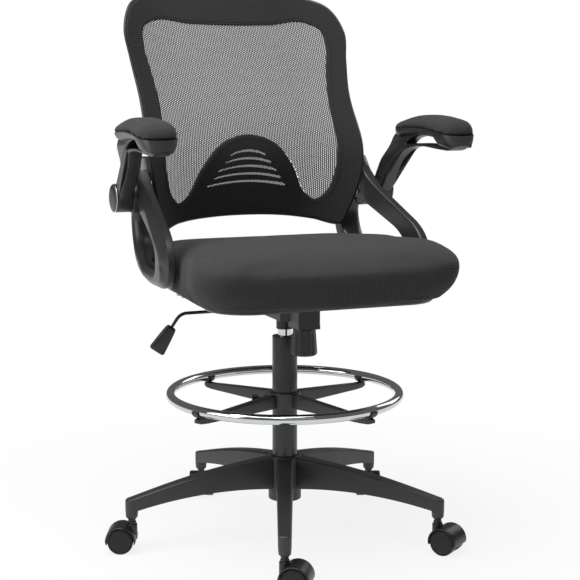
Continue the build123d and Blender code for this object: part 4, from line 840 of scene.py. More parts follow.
@dataclass
class Casters(Assembly):
    """Five twin-wheel casters; sizes in millimetres, headings in degrees."""

    turn: float = 248.0
    circle: float = 315.0
    headings: tuple = (-35.0, -55.0, 68.0, 68.0, 158.0)
    trail: float = 21.0
    wheel_radius: float = 25.0
    wheel_in: float = 6.5
    wheel_out: float = 25.5
    hood_radius: float = 30.0
    hood_wall: float = 3.2
    hood_half: float = 26.5
    hood_lip: float = 1.6
    hood_span: Span = (-12.0, 192.0)
    web_half: float = 5.9
    boss_radius: float = 10.5
    boss_top: float = 56.0
    neck_radius: float = 8.5
    pin_radius: float = 5.5
    neck_top: float = 68.3

    def build(self) -> None:
        """Make the pieces of each caster."""
        for number, heading in enumerate(self.headings, 1):
            angle = np.radians(self.turn + (number - 1) * 360.0 / len(self.headings))
            pivot = bearing(angle) * self.circle
            ahead = bearing(np.radians(heading))
            aside = np.cross(UP, ahead)
            centre = pivot + self.trail * ahead + self.wheel_radius * UP
            axle = Axes(centre * MM, ahead, UP, aside)
            far = Axes(centre * MM, ahead, UP, -aside)
            pin = Axes(pivot * MM, ahead, aside, UP)
            name = f"caster_{number}"
            wheels = make_piece(f"{name}_twin_wheels", [self.wheel(axle), self.wheel(far)], 0.5)
            self.seat_piece(wheels, Finish.WHEEL, f"wheels_{number}", f"{name}_wheels")
            hood = make_piece(f"{name}_fork", [self.hood(axle), self.web(axle), self.boss(pin)], 0.6)
            self.seat_piece(hood, Finish.BLACK, name, f"{name}_hood")
            stem = make_piece(f"{name}_neck", [self.neck(pin)], 0.6)
            self.seat_piece(stem, Finish.BLACK, name, f"{name}_stem")

    def wheel(self, axes: Axes) -> Patch:
        """A moulded wheel: rounded tread, a shallow ring groove and a slightly domed cap.

        Args:
            axes: The axle's frame, pointing away from the other wheel.

        Returns:
            The turned surface.
        """
        r, low, high = self.wheel_radius, self.wheel_in, self.wheel_out
        corners = (
            (0.0, low), (r, low), (r, high), (0.9 * r, high), (0.87 * r, high - 1.0),
            (0.84 * r, high - 0.3), (0.4 * r, high), (0.0, high),
        )
        return turned(corners, (0.0, 3.5, 3.2, 0.5, 0.4, 0.6, 4.0, 0.0), axes, 64, 7)

    def hood(self, axes: Axes) -> Patch:
        """A shell over the wheels: a flat-topped section carried round the axle, drawn in at both ends.

        Args:
            axes: The axle's frame.

        Returns:
            The shell's surface.
        """
        outer, inner, half = self.hood_radius, self.hood_radius - self.hood_wall, self.hood_half
        lip = half - self.hood_lip
        corners = np.array([
            (-half, inner), (-half, outer), (half, outer), (half, inner), (lip, inner), (-lip, inner),
        ])
        section = soften(corners, np.array((0.4, 4.5, 4.5, 0.4, 0.3, 0.3)), 6)
        turn = np.radians(np.linspace(*self.hood_span, 56))
        thin = round_ends(len(turn), 0.1, 0.25)
        radius = inner + (section[None, :, 1] - inner) * thin[:, None]
        local = np.stack([
            radius * np.cos(turn)[:, None],
            radius * np.sin(turn)[:, None],
            np.broadcast_to(section[None, :, 0], radius.shape),
        ], -1)
        return grid(closed_ends(axes.place(local * MM)), round_columns=True)

    def web(self, axes: Axes) -> Patch:
        """The plate between the wheels, a turned disc that meets the hood."""
        r, half = self.hood_radius - 1.0, self.web_half
        profile = (0.0, -half), (0.62 * r, -half), (0.7 * r, 0.0), (0.62 * r, half), (0.0, half)
        return turned(profile, 1.0, axes, 48, 4)

    def boss(self, axes: Axes) -> Patch:
        """The round boss that takes the stem."""
        profile = block(0.0, self.boss_radius, self.wheel_radius, self.boss_top)
        return turned(profile, (0.0, 1.0, 1.6, 0.0), axes, 40, 5)

    def neck(self, axes: Axes) -> Patch:
        """The stem's collar between hood and leg, with a groove.

        Args:
            axes: The swivel's frame.

        Returns:
            The turned surface.
        """
        r, pin, low, high = self.neck_radius, self.pin_radius, self.boss_top, self.neck_top
        groove, foot, head = r - 1.4, low - 8.0, high + 20.0
        profile = (
            (0.0, foot), (pin, foot), (pin, low + 0.2), (r, low + 0.2), (r, low + 4.6), (groove, low + 5.4),
            (groove, high - 3.2), (r, high - 2.6), (r, high), (pin, high), (pin, head), (0.0, head),
        )
        return turned(profile, 0.5, axes, 36, 4)


@dataclass
class Column(Assembly):
    """Outer tube, guide bush and gas cylinder; sizes in millimetres."""

    tube_radius: float = 25.0
    tube_bore: float = 23.0
    tube_low: float = 84.0
    tube_top: float = 410.0
    taper: float = 1.2
    hub_top: float = 169.0
    bush_low: float = 330.0
    bush_top: float = 412.5
    cylinder_radius: float = 14.0
    cylinder_low: float = 125.0
    cylinder_top: float = 458.0
    cone_low: float = 427.0
    cone_taper: float = 0.8
    bush_bore: float = 14.05

    def build(self) -> None:
        """Turn the three pieces about the column's axis."""
        radius, bore, rod = self.tube_radius, self.tube_bore, self.cylinder_radius
        tube = (
            (radius - self.taper, self.tube_low), (radius, self.hub_top), (radius, self.tube_top),
            (bore, self.tube_top), (bore, self.hub_top), (bore - self.taper, self.tube_low),
        )
        bush = (
            (self.bush_bore, self.bush_low), (bore, self.bush_low), (bore, self.tube_top),
            (radius, self.tube_top), (radius, self.bush_top), (self.bush_bore, self.bush_top),
        )
        cylinder = (
            (0.0, self.cylinder_low), (rod, self.cylinder_low), (rod, self.cone_low),
            (rod - self.cone_taper, self.cylinder_top), (0.0, self.cylinder_top),
        )
        pieces = (
            ("column_outer_tube", (tube, 0.8, COLUMN_AXIS, 80, 4, True), Finish.COLUMN, "base", "column_tube"),
            ("column_guide_bush", (bush, 0.9, COLUMN_AXIS, 80, 4, True), Finish.BLACK, "base", "guide_bush"),
            ("lift_cylinder", (cylinder, 1.0, COLUMN_AXIS, 64, 4), Finish.CHROME, "lift", "gas_cylinder"),
        )
        for name, shape, finish, body, node in pieces:
            self.seat_piece(make_piece(name, [turned(*shape)]), finish, body, node)


@dataclass
class FootRing(Assembly):
    """Bright ring on a collar with four tapered spokes; sizes in millimetres."""

    ring_radius: float = 228.5
    tube_radius: float = 9.5
    ring_height: float = 296.0
    spokes: int = 4
    spoke_turn: float = 293.0
    collar_mid: float = 283.0
    collar_height: float = 34.0
    collar_radius: float = 33.0
    collar_bore: float = 25.1
    root_depth: float = 29.0
    tip_depth: float = 11.0
    root_width: float = 18.0
    tip_width: float = 13.0
    flat_tip: float = 0.88
    clip_width: float = 16.0
    clip_wall: float = 3.3
    clip_span: Span = (-186.0, 6.0)
    clamp_turn: float = 158.0
    clamp_reach: float = 66.0
    boss_radius: float = 8.0
    boss_start: float = 27.0
    boss_end: float = 41.0
    shank_radius: float = 3.9
    shank_span: Span = (25.6, 55.0)
    wing_thick: float = 13.0
    wing_halves: Span = (17.0, 7.5)

    def build(self) -> None:
        """Make ring, hub with spokes, clips and clamp screw."""
        turn = np.linspace(0.0, 2 * np.pi, 256, endpoint=False)
        line = np.stack([np.cos(turn), np.sin(turn), np.zeros_like(turn)], 1) * self.ring_radius
        line[:, 2] = self.ring_height
        ring = beam(line * MM, UP, self.tube_radius * MM, self.tube_radius * MM, 2.0, 40, True)
        self.seat_piece(make_piece("bright_ring", [ring]), Finish.CHROME, "ring", "foot_ring")
        angles = np.radians(self.spoke_turn + np.arange(self.spokes) * 90.0)
        hub = [self.collar(), self.clamp_boss()] + [self.spoke(angle) for angle in angles]
        self.seat_piece(make_piece("ring_collar", hub, 0.5), Finish.BASE, "ring", "ring_hub")
        clips = make_piece("ring_hooks", [self.clip(angle) for angle in angles], 0.6)
        self.seat_piece(clips, Finish.BLACK, "ring", "ring_clips")
        clamp = make_piece("clamp_wing", self.clamp(), 0.6)
        self.seat_piece(clamp, Finish.BLACK, "clamp", "clamp_knob")

    def collar(self) -> Patch:
        """A ring round the column: a softened rectangle turned about the axis."""
        low, high = self.collar_mid - self.collar_height / 2, self.collar_mid + self.collar_height / 2
        rim = block(self.collar_bore, self.collar_radius, low, high)
        return turned(rim, (0.4, 2.5, 2.5, 0.4), COLUMN_AXIS, 72, 5, closed=True)

    def spoke(self, angle: float) -> Patch:
        """A spoke: a squarish section carried outwards as its depth and width shrink.

        Args:
            angle: The spoke's direction, in radians.

        Returns:
            The spoke's surface.
        """
        along = np.linspace(0.0, 1.0, 24)
        inner, outer = self.collar_bore + 2.0, self.ring_radius + self.tube_radius - 0.5
        out = inner + (outer - inner) * along
        seat = self.ring_height - self.tube_radius - self.clip_wall
        root_top = self.collar_mid + self.root_depth / 2
        top = root_top + (seat - root_top) * np.minimum(1.0, along / self.flat_tip)
        depth = self.root_depth + (self.tip_depth - self.root_depth) * along
        ahead = bearing(angle)
        path = out[:, None] * ahead + (top - depth / 2)[:, None] * UP
        width = self.root_width + (self.tip_width - self.root_width) * along
        ends = round_ends(len(along), 0.03, 0.6)
        aside = np.cross(UP, ahead)
        return beam(path * MM, aside, width * ends / 2 * MM, depth * ends / 2 * MM, 9.0, 40)

    def clip(self, angle: float) -> Patch:
        """A hook under the ring: a flat strip carried round the lower part of the ring's tube.

        Args:
            angle: The direction of the hook's spoke, in radians.

        Returns:
            The hook's surface.
        """
        ahead = bearing(angle)
        turn = np.radians(np.linspace(*self.clip_span, 32))
        radius = self.tube_radius + self.clip_wall / 2 + 0.1
        centre = ahead * self.ring_radius + UP * self.ring_height
        path = centre + radius * (np.cos(turn)[:, None] * ahead + np.sin(turn)[:, None] * UP)
        ends = round_ends(len(turn), 0.06, 0.5)
        aside = np.cross(UP, ahead)
        return beam(path * MM, aside, self.clip_width / 2 * MM, self.clip_wall / 2 * ends * MM, 6.0, 24)

    def clamp_axes(self) -> Axes:
        """The clamp screw's frame, which points away from the column."""
        return axes_along((0.0, 0.0, self.collar_mid * MM), bearing(np.radians(self.clamp_turn)))

    def clamp_boss(self) -> Patch:
        """The boss on the collar that takes the clamp screw."""
        profile = block(0.0, self.boss_radius, self.boss_start, self.boss_end)
        return turned(profile, (0.0, 0.5, 1.2, 0.0), self.clamp_axes(), 36, 4)

    def clamp(self) -> list[Patch]:
        """The clamp screw: a turned shank and a wing of rounded section.

        Returns:
            The surfaces of shank and wing.
        """
        axes = self.clamp_axes()
        shank = turned(block(0.0, self.shank_radius, *self.shank_span), 0.4, axes, 28, 4)
        reach = np.linspace(self.clamp_reach - self.wing_thick, self.clamp_reach, 16)
        path = axes.place(np.stack([0 * reach, 0 * reach, reach], 1) * MM)
        ends = round_ends(len(reach), 0.2, 0.6)
        long, wide = self.wing_halves
        return [shank, beam(path, axes.first, long * ends * MM, wide * ends * MM, 3.0, 36)]


# Tension knob and lift lever


@dataclass
class Mechanism(Assembly):
    """Tension knob and lift lever; sizes in millimetres, angles in degrees."""

    knob_y: float = -100.0
    knob_low: float = 391.0
    knob_high: float = 444.0
    knob_low_radius: float = 25.5
    knob_high_radius: float = 22.0
    knob_round: float = 6.4
    flutes: int = 10
    flute_depth: float = 0.07
    flute_span: Span = (0.04, 0.92)
    rod_radius: float = 3.25
    rod_start: float = 13.5
    rod_bend: float = -217.0
    rod_height: float = 470.0
    rod_sunk: float = 34.0
    drop_angle: float = 55.0
    bend_reach: float = 14.0
    paddle_start: float = 30.0
    paddle_end: float = 87.0
    paddle_neck: float = 9.0
    paddle_tip: float = 16.5
    paddle_thick: float = 13.0

    def build(self) -> None:
        """Make the knob, the bent rod and the paddle."""
        self.seat_piece(make_piece("fluted_knob", [self.knob()], 0.6), Finish.BLACK, "tension", "tension_knob")
        self.seat_piece(make_piece("bent_rod", [self.rod()]), Finish.MECHANISM, "lever", "lever_rod")
        paddle = make_piece("fan_paddle", [self.paddle()], 0.6)
        self.seat_piece(paddle, Finish.BLACK, "lever", "lever_paddle")

    def knob(self) -> Patch:
        """A tapered knob with shallow flutes that fade out towards its ends.

        Returns:
            The knob's surface.
        """
        corners = np.array([
            (0.0, self.knob_low), (self.knob_low_radius, self.knob_low),
            (self.knob_high_radius, self.knob_high), (0.0, self.knob_high),
        ])
        profile = soften(corners, np.array((0.0, self.knob_round, 2.0, 0.0)), 9, closed=False)
        profile = np.concatenate([profile[:1], spread(profile[1:-1], 48), profile[-1:]])
        turn = np.linspace(0.0, 2 * np.pi, 120, endpoint=False)
        height = np.clip((profile[:, 1] - self.knob_low) / (self.knob_high - self.knob_low), 0.0, 1.0)
        first, last = self.flute_span
        fade = np.clip(np.minimum(height - first, last - height) / 0.1, 0.0, 1.0)
        flute = np.clip(np.cos(self.flutes * turn) - 0.2, 0.0, 1.0) / 0.8
        swell = 1.0 - self.flute_depth * fade[:, None] * flute[None, :]
        axes = axes_along((0.0, self.knob_y * MM, 0.0), (0.0, 0.0, 1.0))
        return lathe(profile * MM, axes, 120, swell)

    def drop(self) -> np.ndarray:
        """The direction of the lever's bent end."""
        angle = np.radians(self.drop_angle)
        return np.array((-np.cos(angle), 0.0, -np.sin(angle)))

    def rod(self) -> Patch:
        """A round rod along a line with one rounded bend.

        Returns:
            The rod's surface.
        """
        corner = np.array((self.rod_bend, 0.0, self.rod_height))
        start = np.array((self.rod_start, 0.0, self.rod_height))
        end = corner + self.drop() * (self.paddle_start + self.rod_sunk)
        path = soften(np.stack([start, corner, end]), self.bend_reach, 14, closed=False)
        path = np.concatenate([spread(np.stack([start, path[1]]), 12), path[2:]])
        radius = self.rod_radius * round_ends(len(path), 0.02, 0.7) * MM
        return beam(path * MM, (0.0, 1.0, 0.0), radius, radius, 2.0, 28)

    def paddle(self) -> Patch:
        """A fan-shaped grip: a squarish section that widens along the drop and rounds off at both ends.

        Returns:
            The grip's surface.
        """
        corner = np.array((self.rod_bend, 0.0, self.rod_height))
        along = np.linspace(0.0, 1.0, 36)
        reach = self.paddle_start + (self.paddle_end - self.paddle_start) * along
        path = corner + reach[:, None] * self.drop()
        fan = self.paddle_neck + (self.paddle_tip - self.paddle_neck) * along**0.8
        ends = round_ends(len(along), 0.09, 0.45)
        flare = np.cross(self.drop(), (0.0, 1.0, 0.0))
        thick = self.paddle_thick / 2 * (0.82 + 0.18 * np.sin(np.pi * along**0.7)) * ends
        return beam(path * MM, flare, fan * (0.5 + 0.5 * ends) * MM, thick * MM, 4.5, 44)


# Seat cushion, arm brackets, flip-up arms and their pads


@dataclass(frozen=True)
class Filling:
    """How a padded piece is stuffed; lengths in millimetres."""

    voxel: float
    pressure: float
    cap: float
    fill: float
    frames: int = 20

    def plump(self, piece: bpy.types.Object, rests: Callable[[np.ndarray], np.ndarray]) -> None:
        """Inflate a closed form like a sewn cover and keep the result as its mesh.

        The form is remeshed evenly, blown up by a cloth simulation without gravity, and each point's way is
        capped. Points that rest on the plate below are held.

        Args:
            piece: The piece to inflate, in place.
            rests: Tells from points in millimetres which of them are held.
        """
        even = piece.modifiers.new("even", "REMESH")
        even.mode = "VOXEL"
        even.voxel_size = self.voxel * MM
        self.take(piece)
        start = self.places(piece.data)
        held = piece.vertex_groups.new(name="held")
        held.add(np.flatnonzero(rests(start / MM)).tolist(), 1.0, "REPLACE")
        cloth = piece.modifiers.new("cover", "CLOTH")
        cloth.settings.use_pressure = True
        cloth.settings.uniform_pressure_force = self.pressure
        cloth.settings.effector_weights.gravity = 0.0
        cloth.settings.vertex_group_mass = held.name
        cloth.settings.quality = 6
        scene = bpy.context.scene
        for frame in range(1, self.frames + 1):
            scene.frame_set(frame)
        self.take(piece)
        scene.frame_set(1)
        way = self.places(piece.data) - start
        length = np.linalg.norm(way, axis=1, keepdims=True)
        cap = self.cap * MM
        way *= cap * np.tanh(length / cap) / np.maximum(length, 1e-9)
        piece.data.vertices.foreach_set("co", (start + way).ravel())
        piece.vertex_groups.clear()
        smooth = piece.modifiers.new("even_out", "SMOOTH")
        smooth.factor, smooth.iterations = 0.5, 3
        finer = piece.modifiers.new("finer", "SUBSURF")
        finer.levels = finer.render_levels = 1
        piece.data.shade_smooth()

    @staticmethod
    def places(mesh: bpy.types.Mesh) -> np.ndarray:
        """A mesh's points as an array."""
        flat = np.empty(3 * len(mesh.vertices))
        mesh.vertices.foreach_get("co", flat)
        return flat.reshape(-1, 3)

    @staticmethod
    def take(piece: bpy.types.Object) -> None:
        """Make the mesh what the modifiers now give, and drop the modifiers.

        Args:
            piece: The piece to change, in place.
        """
        shape = piece.evaluated_get(bpy.context.evaluated_depsgraph_get())
        mesh = bpy.data.meshes.new_from_object(shape)
        piece.modifiers.clear()
        piece.data = mesh


def plate(
    outer: np.ndarray,
    inner: np.ndarray,
    thick: float,
    round_face: float | np.ndarray,
    round_back: float,
    bands: int = 0,
    round_hole: float | np.ndarray | None = None,
    slant: float = 0.0,
    fall: float | None = None,
) -> tuple[np.ndarray, np.ndarray, np.ndarray]:
    """A flat plate with a hole, all its edges rounded by quarter circles.

    Rows follow the hole's edge and the outer edge, each drawn into the plate along its own normal by as much
    as the round takes at that height. The flat faces are the bands between the two edges.

    Args:
        outer: Closed outer line, two coordinates by row.
        inner: Closed line of the hole, with as many points, each facing its outer point.
        thick: The plate's thickness.
        round_face: Radius of the edges on the outer face, for all points or for each.
        round_back: Radius of the edges on the inner face.
        bands: Rows between the two edges on each face, for a plate that is bent afterwards.
        round_hole: Radius of the hole's edge on the outer face, where it differs, for all points or for each.
        slant: How far the outer edge on the outer face is a straight slant instead of a round, 0 to 1.
        fall: Greatest depth of the edges on the outer face, where it differs from their radius.

    Returns:
        Both in-plane coordinates and the height through the plate, by row and column.
    """
    turn = np.linspace(0.0, 0.5 * np.pi, 8)[:, None]
    deepest = 0.85 * thick if fall is None else fall

    def edge(
        line: np.ndarray, side: float, face: float | np.ndarray, straight: float
    ) -> tuple[np.ndarray, np.ndarray]:
        """Rows of a rounded or slanted edge, from the inner face to the outer one.

        Args:
            line: The edge's line.
            side: 1 to draw it in towards its inside, -1 to draw it out.
            face: Radius on the outer face, for all points or for each.
            straight: How far the edge is a slant, 0 to 1.

        Returns:
            The rows' points and their heights.
        """
        ahead = np.roll(line, -1, 0)
        area = np.sum(line[:, 0] * ahead[:, 1] - ahead[:, 0] * line[:, 1])
        normal = left_of(line) * np.sign(area) * side
        face = np.broadcast_to(np.asarray(face, float), len(line))[None]
        share = turn / turn[-1]
        across = (1 - straight) * (1 - np.cos(turn)) + straight * share
        drop = (1 - straight) * (1 - np.sin(turn)) + straight * (1 - share)
        rear_in, rear_up = (round_back * (1 - arc(turn)) + 0 * face for arc in (np.sin, np.cos))
        into = np.concatenate([rear_in, face * across])
        height = np.concatenate([rear_up, thick - np.minimum(face, deepest) * drop])
        return line[None] + into[..., None] * normal[None], height

    hole, hole_height = edge(inner, -1.0, round_face if round_hole is None else round_hole, 0.0)
    rim, rim_height = edge(outer, 1.0, round_face, slant)
    rim, rim_height = rim[::-1], rim_height[::-1]
    share = np.linspace(0.0, 1.0, bands + 2)[1:-1, None, None]
    face = hole[-1:] + share * (rim[:1] - hole[-1:])
    back = rim[-1:] + share * (hole[:1] - rim[-1:])
    flat = np.concatenate([hole, face, rim, back], 0)
    level = np.zeros((bands, len(outer)))
    lift = np.concatenate([hole_height, level + thick, rim_height, level])
    return flat[..., 0], flat[..., 1], lift


@dataclass
class Seat(Assembly):
    """The padded seat; sizes in millimetres."""

    front: float = -285.0
    rear: float = 205.0
    front_half: float = 275.0
    rear_half: float = 225.0
    corner: float = 90.0
    base: float = 503.5
    widest: float = 561.0
    crown: float = 600.0
    dome: float = 3.0
    rise_at: tuple = (-290.0, -220.0, -90.0, 60.0, 210.0)
    rises: tuple = (-9.0, 0.0, 10.0, -1.0, -12.0)
    side_rise: float = 13.0
    tuck: float = 40.0
    corner_lift: float = 7.0
    shoulder: float = 50.0
    fall: float = 120.0
    heel: float = 66.0
    front_bow: float = 7.0
    rear_bow: float = 4.0
    side_bow: float = 14.0
    side_bow_at: float = 20.0
    rear_corner: float = 86.0
    bow_reach: float = 150.0
    side_rise_span: Span = (-90.0, -200.0)
    held_height: float = 8.0
    filling: Filling = Filling(6.0, 4.0, 7.0, 0.8)

    def build(self) -> None:
        """Make the cushion and inflate it."""
        piece = make_piece("padded_seat", [self.cushion()], 2.0)
        self.filling.plump(piece, lambda points: points[:, 2] < self.base + self.held_height)
        self.seat_piece(piece, Finish.SEAT, "seat", "seat_cushion")

    def outline(self) -> np.ndarray:
        """The plan outline, with large corners, a bowed front and sides that taper to the rear.

        Returns:
            Points at even steps along the closed line.
        """
        side = self.rear_half + self.side_bow
        corners = np.array([
            (-self.front_half, self.front), (0.0, self.front - self.front_bow), (self.front_half, self.front),
            (side, self.side_bow_at), (self.rear_half, self.rear), (0.0, self.rear + self.rear_bow),
            (-self.rear_half, self.rear), (-side, self.side_bow_at),
        ])
        bow, front, rear = self.bow_reach, self.corner, self.rear_corner
        reach = np.array((front, bow, front, bow, rear, bow, rear, bow))
        return spread(soften(corners, reach, 24), 240, closed=True)

    def drawn_in(self, side: np.ndarray, front: np.ndarray, rear: np.ndarray) -> np.ndarray:
        """Outlines drawn in at the sides, front and rear by stretching the plan, so that no corner folds.

        Args:
            side: How far each outline is drawn in at the sides.
            front: How far at the front.
            rear: How far at the rear.

        Returns:
            Points by outline and place along it.
        """
        line = self.outline()
        along = (line[:, 1] - self.front) / (self.rear - self.front)
        x = line[None, :, 0] * (1 - side[:, None] / self.front_half)
        y = line[None, :, 1] + front[:, None] * (1 - along) - rear[:, None] * along
        return np.stack([x, y], -1)

    def cushion(self) -> Patch:
        """Outlines stacked from the base to the crown: a tucked-in side, then a rounded waterfall edge.

        The side follows a quarter of a superellipse below the widest line and another above it. Inside the
        shoulder the outlines shrink towards the middle with a slight crown. The top rises from the rear to
        its crest and falls to the front, less so at the sides; the lower edge lifts at the front corners.

        Returns:
            The cushion's closed surface.
        """
        low = np.linspace(0.0, 0.5 * np.pi, 14)
        below_in = self.tuck * (1 - np.sin(low))
        below_z = self.base + (self.widest - self.base) * (1 - np.cos(low) ** 1.15)
        high = np.linspace(0.0, 0.5 * np.pi, 30)[1:]
        share = 1 - np.cos(high) ** 0.95
        above_z = self.widest + (self.crown - self.dome - self.widest) * np.sin(high) ** 0.66
        sides = self.drawn_in(*(
            np.concatenate([below_in * tuck, inset * share])
            for tuck, inset in ((1.0, self.shoulder), (0.9, self.fall), (0.6, self.heel))
        ))
        heights = np.concatenate([below_z, above_z])
        shrink = np.cos(np.linspace(0.0, 0.5 * np.pi, 18))[1:-1]
        middle = np.array((0.0, 0.5 * (self.front + self.fall + self.rear - self.heel)))
        top = middle + (sides[-1][None] - middle) * shrink[:, None, None]
        top_z = heights[-1] + self.dome * (1 - shrink**2)
        foot = middle + (sides[0][None] - middle) * np.linspace(0.1, 0.97, 9)[:, None, None]
        plan = np.concatenate([foot, sides, top], 0)
        level = np.concatenate([np.full(9, self.base), heights, top_z])[:, None]
        share = np.clip((level - self.base) / (self.crown - self.base), 0.0, 1.0)
        corner = smoothstep(np.abs(plan[..., 0]) / self.front_half) * smoothstep(plan[..., 1] / self.front)
        sides = (plan[..., 0] / self.front_half) ** 2 * ramp(plan[..., 1], *self.side_rise_span)
        rise = natural_spline(self.rise_at, self.rises, plan[..., 1]) + self.side_rise * sides
        height = level + rise * share**3 + self.corner_lift * corner * (1 - share)
        return stacked(plan[..., 0], plan[..., 1], height)


@dataclass
class Brackets(Assembly):
    """Looped mouldings that carry back and arms; side-view points are Y and Z in millimetres."""

    front_inner: float = 258.5
    lean: float = 34.0 / 370.0
    band_front: float = -140.0
    thick: float = 27.0
    outer: tuple = (
        (168.0, 764.0), (148.0, 736.0), (112.0, 707.0), (-78.0, 624.0), (-105.0, 576.0), (-78.0, 528.0),
        (95.0, 520.0), (178.0, 544.0), (220.0, 612.0), (216.0, 690.0), (194.0, 752.0), (184.0, 764.0),
    )
    opening: tuple = (
        (164.0, 668.0), (140.0, 664.0), (106.0, 652.0), (0.0, 615.0), (-34.0, 588.0), (-14.0, 556.0),
        (100.0, 553.0), (172.0, 590.0), (188.0, 628.0), (188.0, 650.0), (182.0, 662.0), (174.0, 667.0),
    )
    outer_round: tuple = (7.0, 16.0, 40.0, 40.0, 40.0, 46.0, 46.0, 60.0, 60.0, 60.0, 10.0, 6.0)
    face_round: float = 34.0
    face_fall: float = 12.0
    low_round: float = 13.0
    tail_round: float = 9.0
    hole_round: float = 2.5
    slant: float = 19.0
    back_round: float = 4.0
    swell: float = 24.0
    tail_swell: float = 13.0
    pivot: Span = (160.0, 683.0)
    boss_radius: float = 30.0
    boss_end: float = 268.7
    boss_sunk: float = 4.0
    opening_round: float = 22.0
    slanted: float = 0.75
    tail_above: Span = (650.0, 720.0)
    foot_below: Span = (575.0, 535.0)
    heel_behind: Span = (110.0, 170.0)
    sill_behind: Span = (110.0, 160.0)
    sill_below: Span = (580.0, 556.0)
    swell_behind: Span = (120.0, 180.0)
    swell_below: Span = (665.0, 625.0)
    tail_swell_above: Span = (700.0, 730.0)
    tail_swell_behind: Span = (140.0, 160.0)
    tab_middle: float = 60.0
    tab_half: float = 40.0
    tab_inner: float = 182.0
    tab_bend: float = 196.0
    tab_height: float = 499.5
    tab_rise: float = 36.0
    tab_thick: float = 4.8
    tab_sunk: float = 5.0

    def build(self) -> None:
        """Make the bracket of each side."""
        for side in Side:
            patches = on_side(side, [self.loop(), self.boss(), self.tab()])
            piece = make_piece(f"looped_bracket_{side.word}", patches, 0.6)
            self.seat_piece(piece, Finish.BRACKET, "seat", f"bracket_{side.word}")

    def inner_face(self, y: np.ndarray) -> np.ndarray:
        """Distance of the inner face from the centre plane."""
        return self.front_inner - self.lean * (y - self.band_front)

    def loop(self) -> Patch:
        """The loop: a plate with a hole, leaning in towards the rear.

        The front leg's face slants through most of the plate, the other edges are rounder, and those of the
        slim tail small. The rear leg and the tail reach further in than the front leg.

        Returns:
            The loop's closed surface.
        """
        line = soften(np.array(self.outer), np.array(self.outer_round), 14)
        hole = soften(np.array(self.opening), self.opening_round, 14)
        tail = ramp(line[:, 1], *self.tail_above)
        low = np.maximum(ramp(line[:, 1], *self.foot_below), ramp(line[:, 0], *self.heel_behind))
        edge = self.face_round + (self.low_round - self.face_round) * low
        edge = edge + (self.tail_round - edge) * tail
        sill = np.maximum(ramp(hole[:, 0], *self.sill_behind), ramp(hole[:, 1], *self.sill_below))
        hole_edge = self.hole_round + (self.slant - self.hole_round) * sill
        y, z, lift = plate(
            line, hole, self.thick, edge, self.back_round, 4, hole_edge, self.slanted, self.face_fall
        )
        rear = self.swell * ramp(y, *self.swell_behind) * ramp(z, *self.swell_below)
        high = self.tail_swell * ramp(z, *self.tail_swell_above) * ramp(y, *self.tail_swell_behind)
        x = self.inner_face(y) + lift - (rear + high) * (1 - lift / self.thick)
        return stacked(x, y, z, joined=True)

    def boss(self) -> Patch:
        """The round boss behind the arm.

        Returns:
            The turned surface.
        """
        y, z = self.pivot
        start = float(self.inner_face(np.float64(y))) + self.boss_sunk
        axes = axes_along((0.0, y * MM, z * MM), (1.0, 0.0, 0.0))
        return turned(block(0.0, self.boss_radius, start, self.boss_end), (0.0, 1.0, 1.5, 0.0), axes, 56, 5)

    def tab(self) -> Patch:
        """The flat tongue that rises from under the seat pan, along the cushion's lower edge, to the loop.

        Returns:
            The tongue's surface.
        """
        outer = float(self.inner_face(np.float64(self.tab_middle))) + self.tab_sunk
        x = np.linspace(self.tab_inner, outer, 18)
        z = self.tab_height + self.tab_rise * ramp(x, self.tab_bend, outer)
        path = np.stack([x, np.full_like(x, self.tab_middle), z], 1)
        return beam(path * MM, (0.0, 1.0, 0.0), self.tab_half * MM, self.tab_thick / 2 * MM, 12.0, 24)


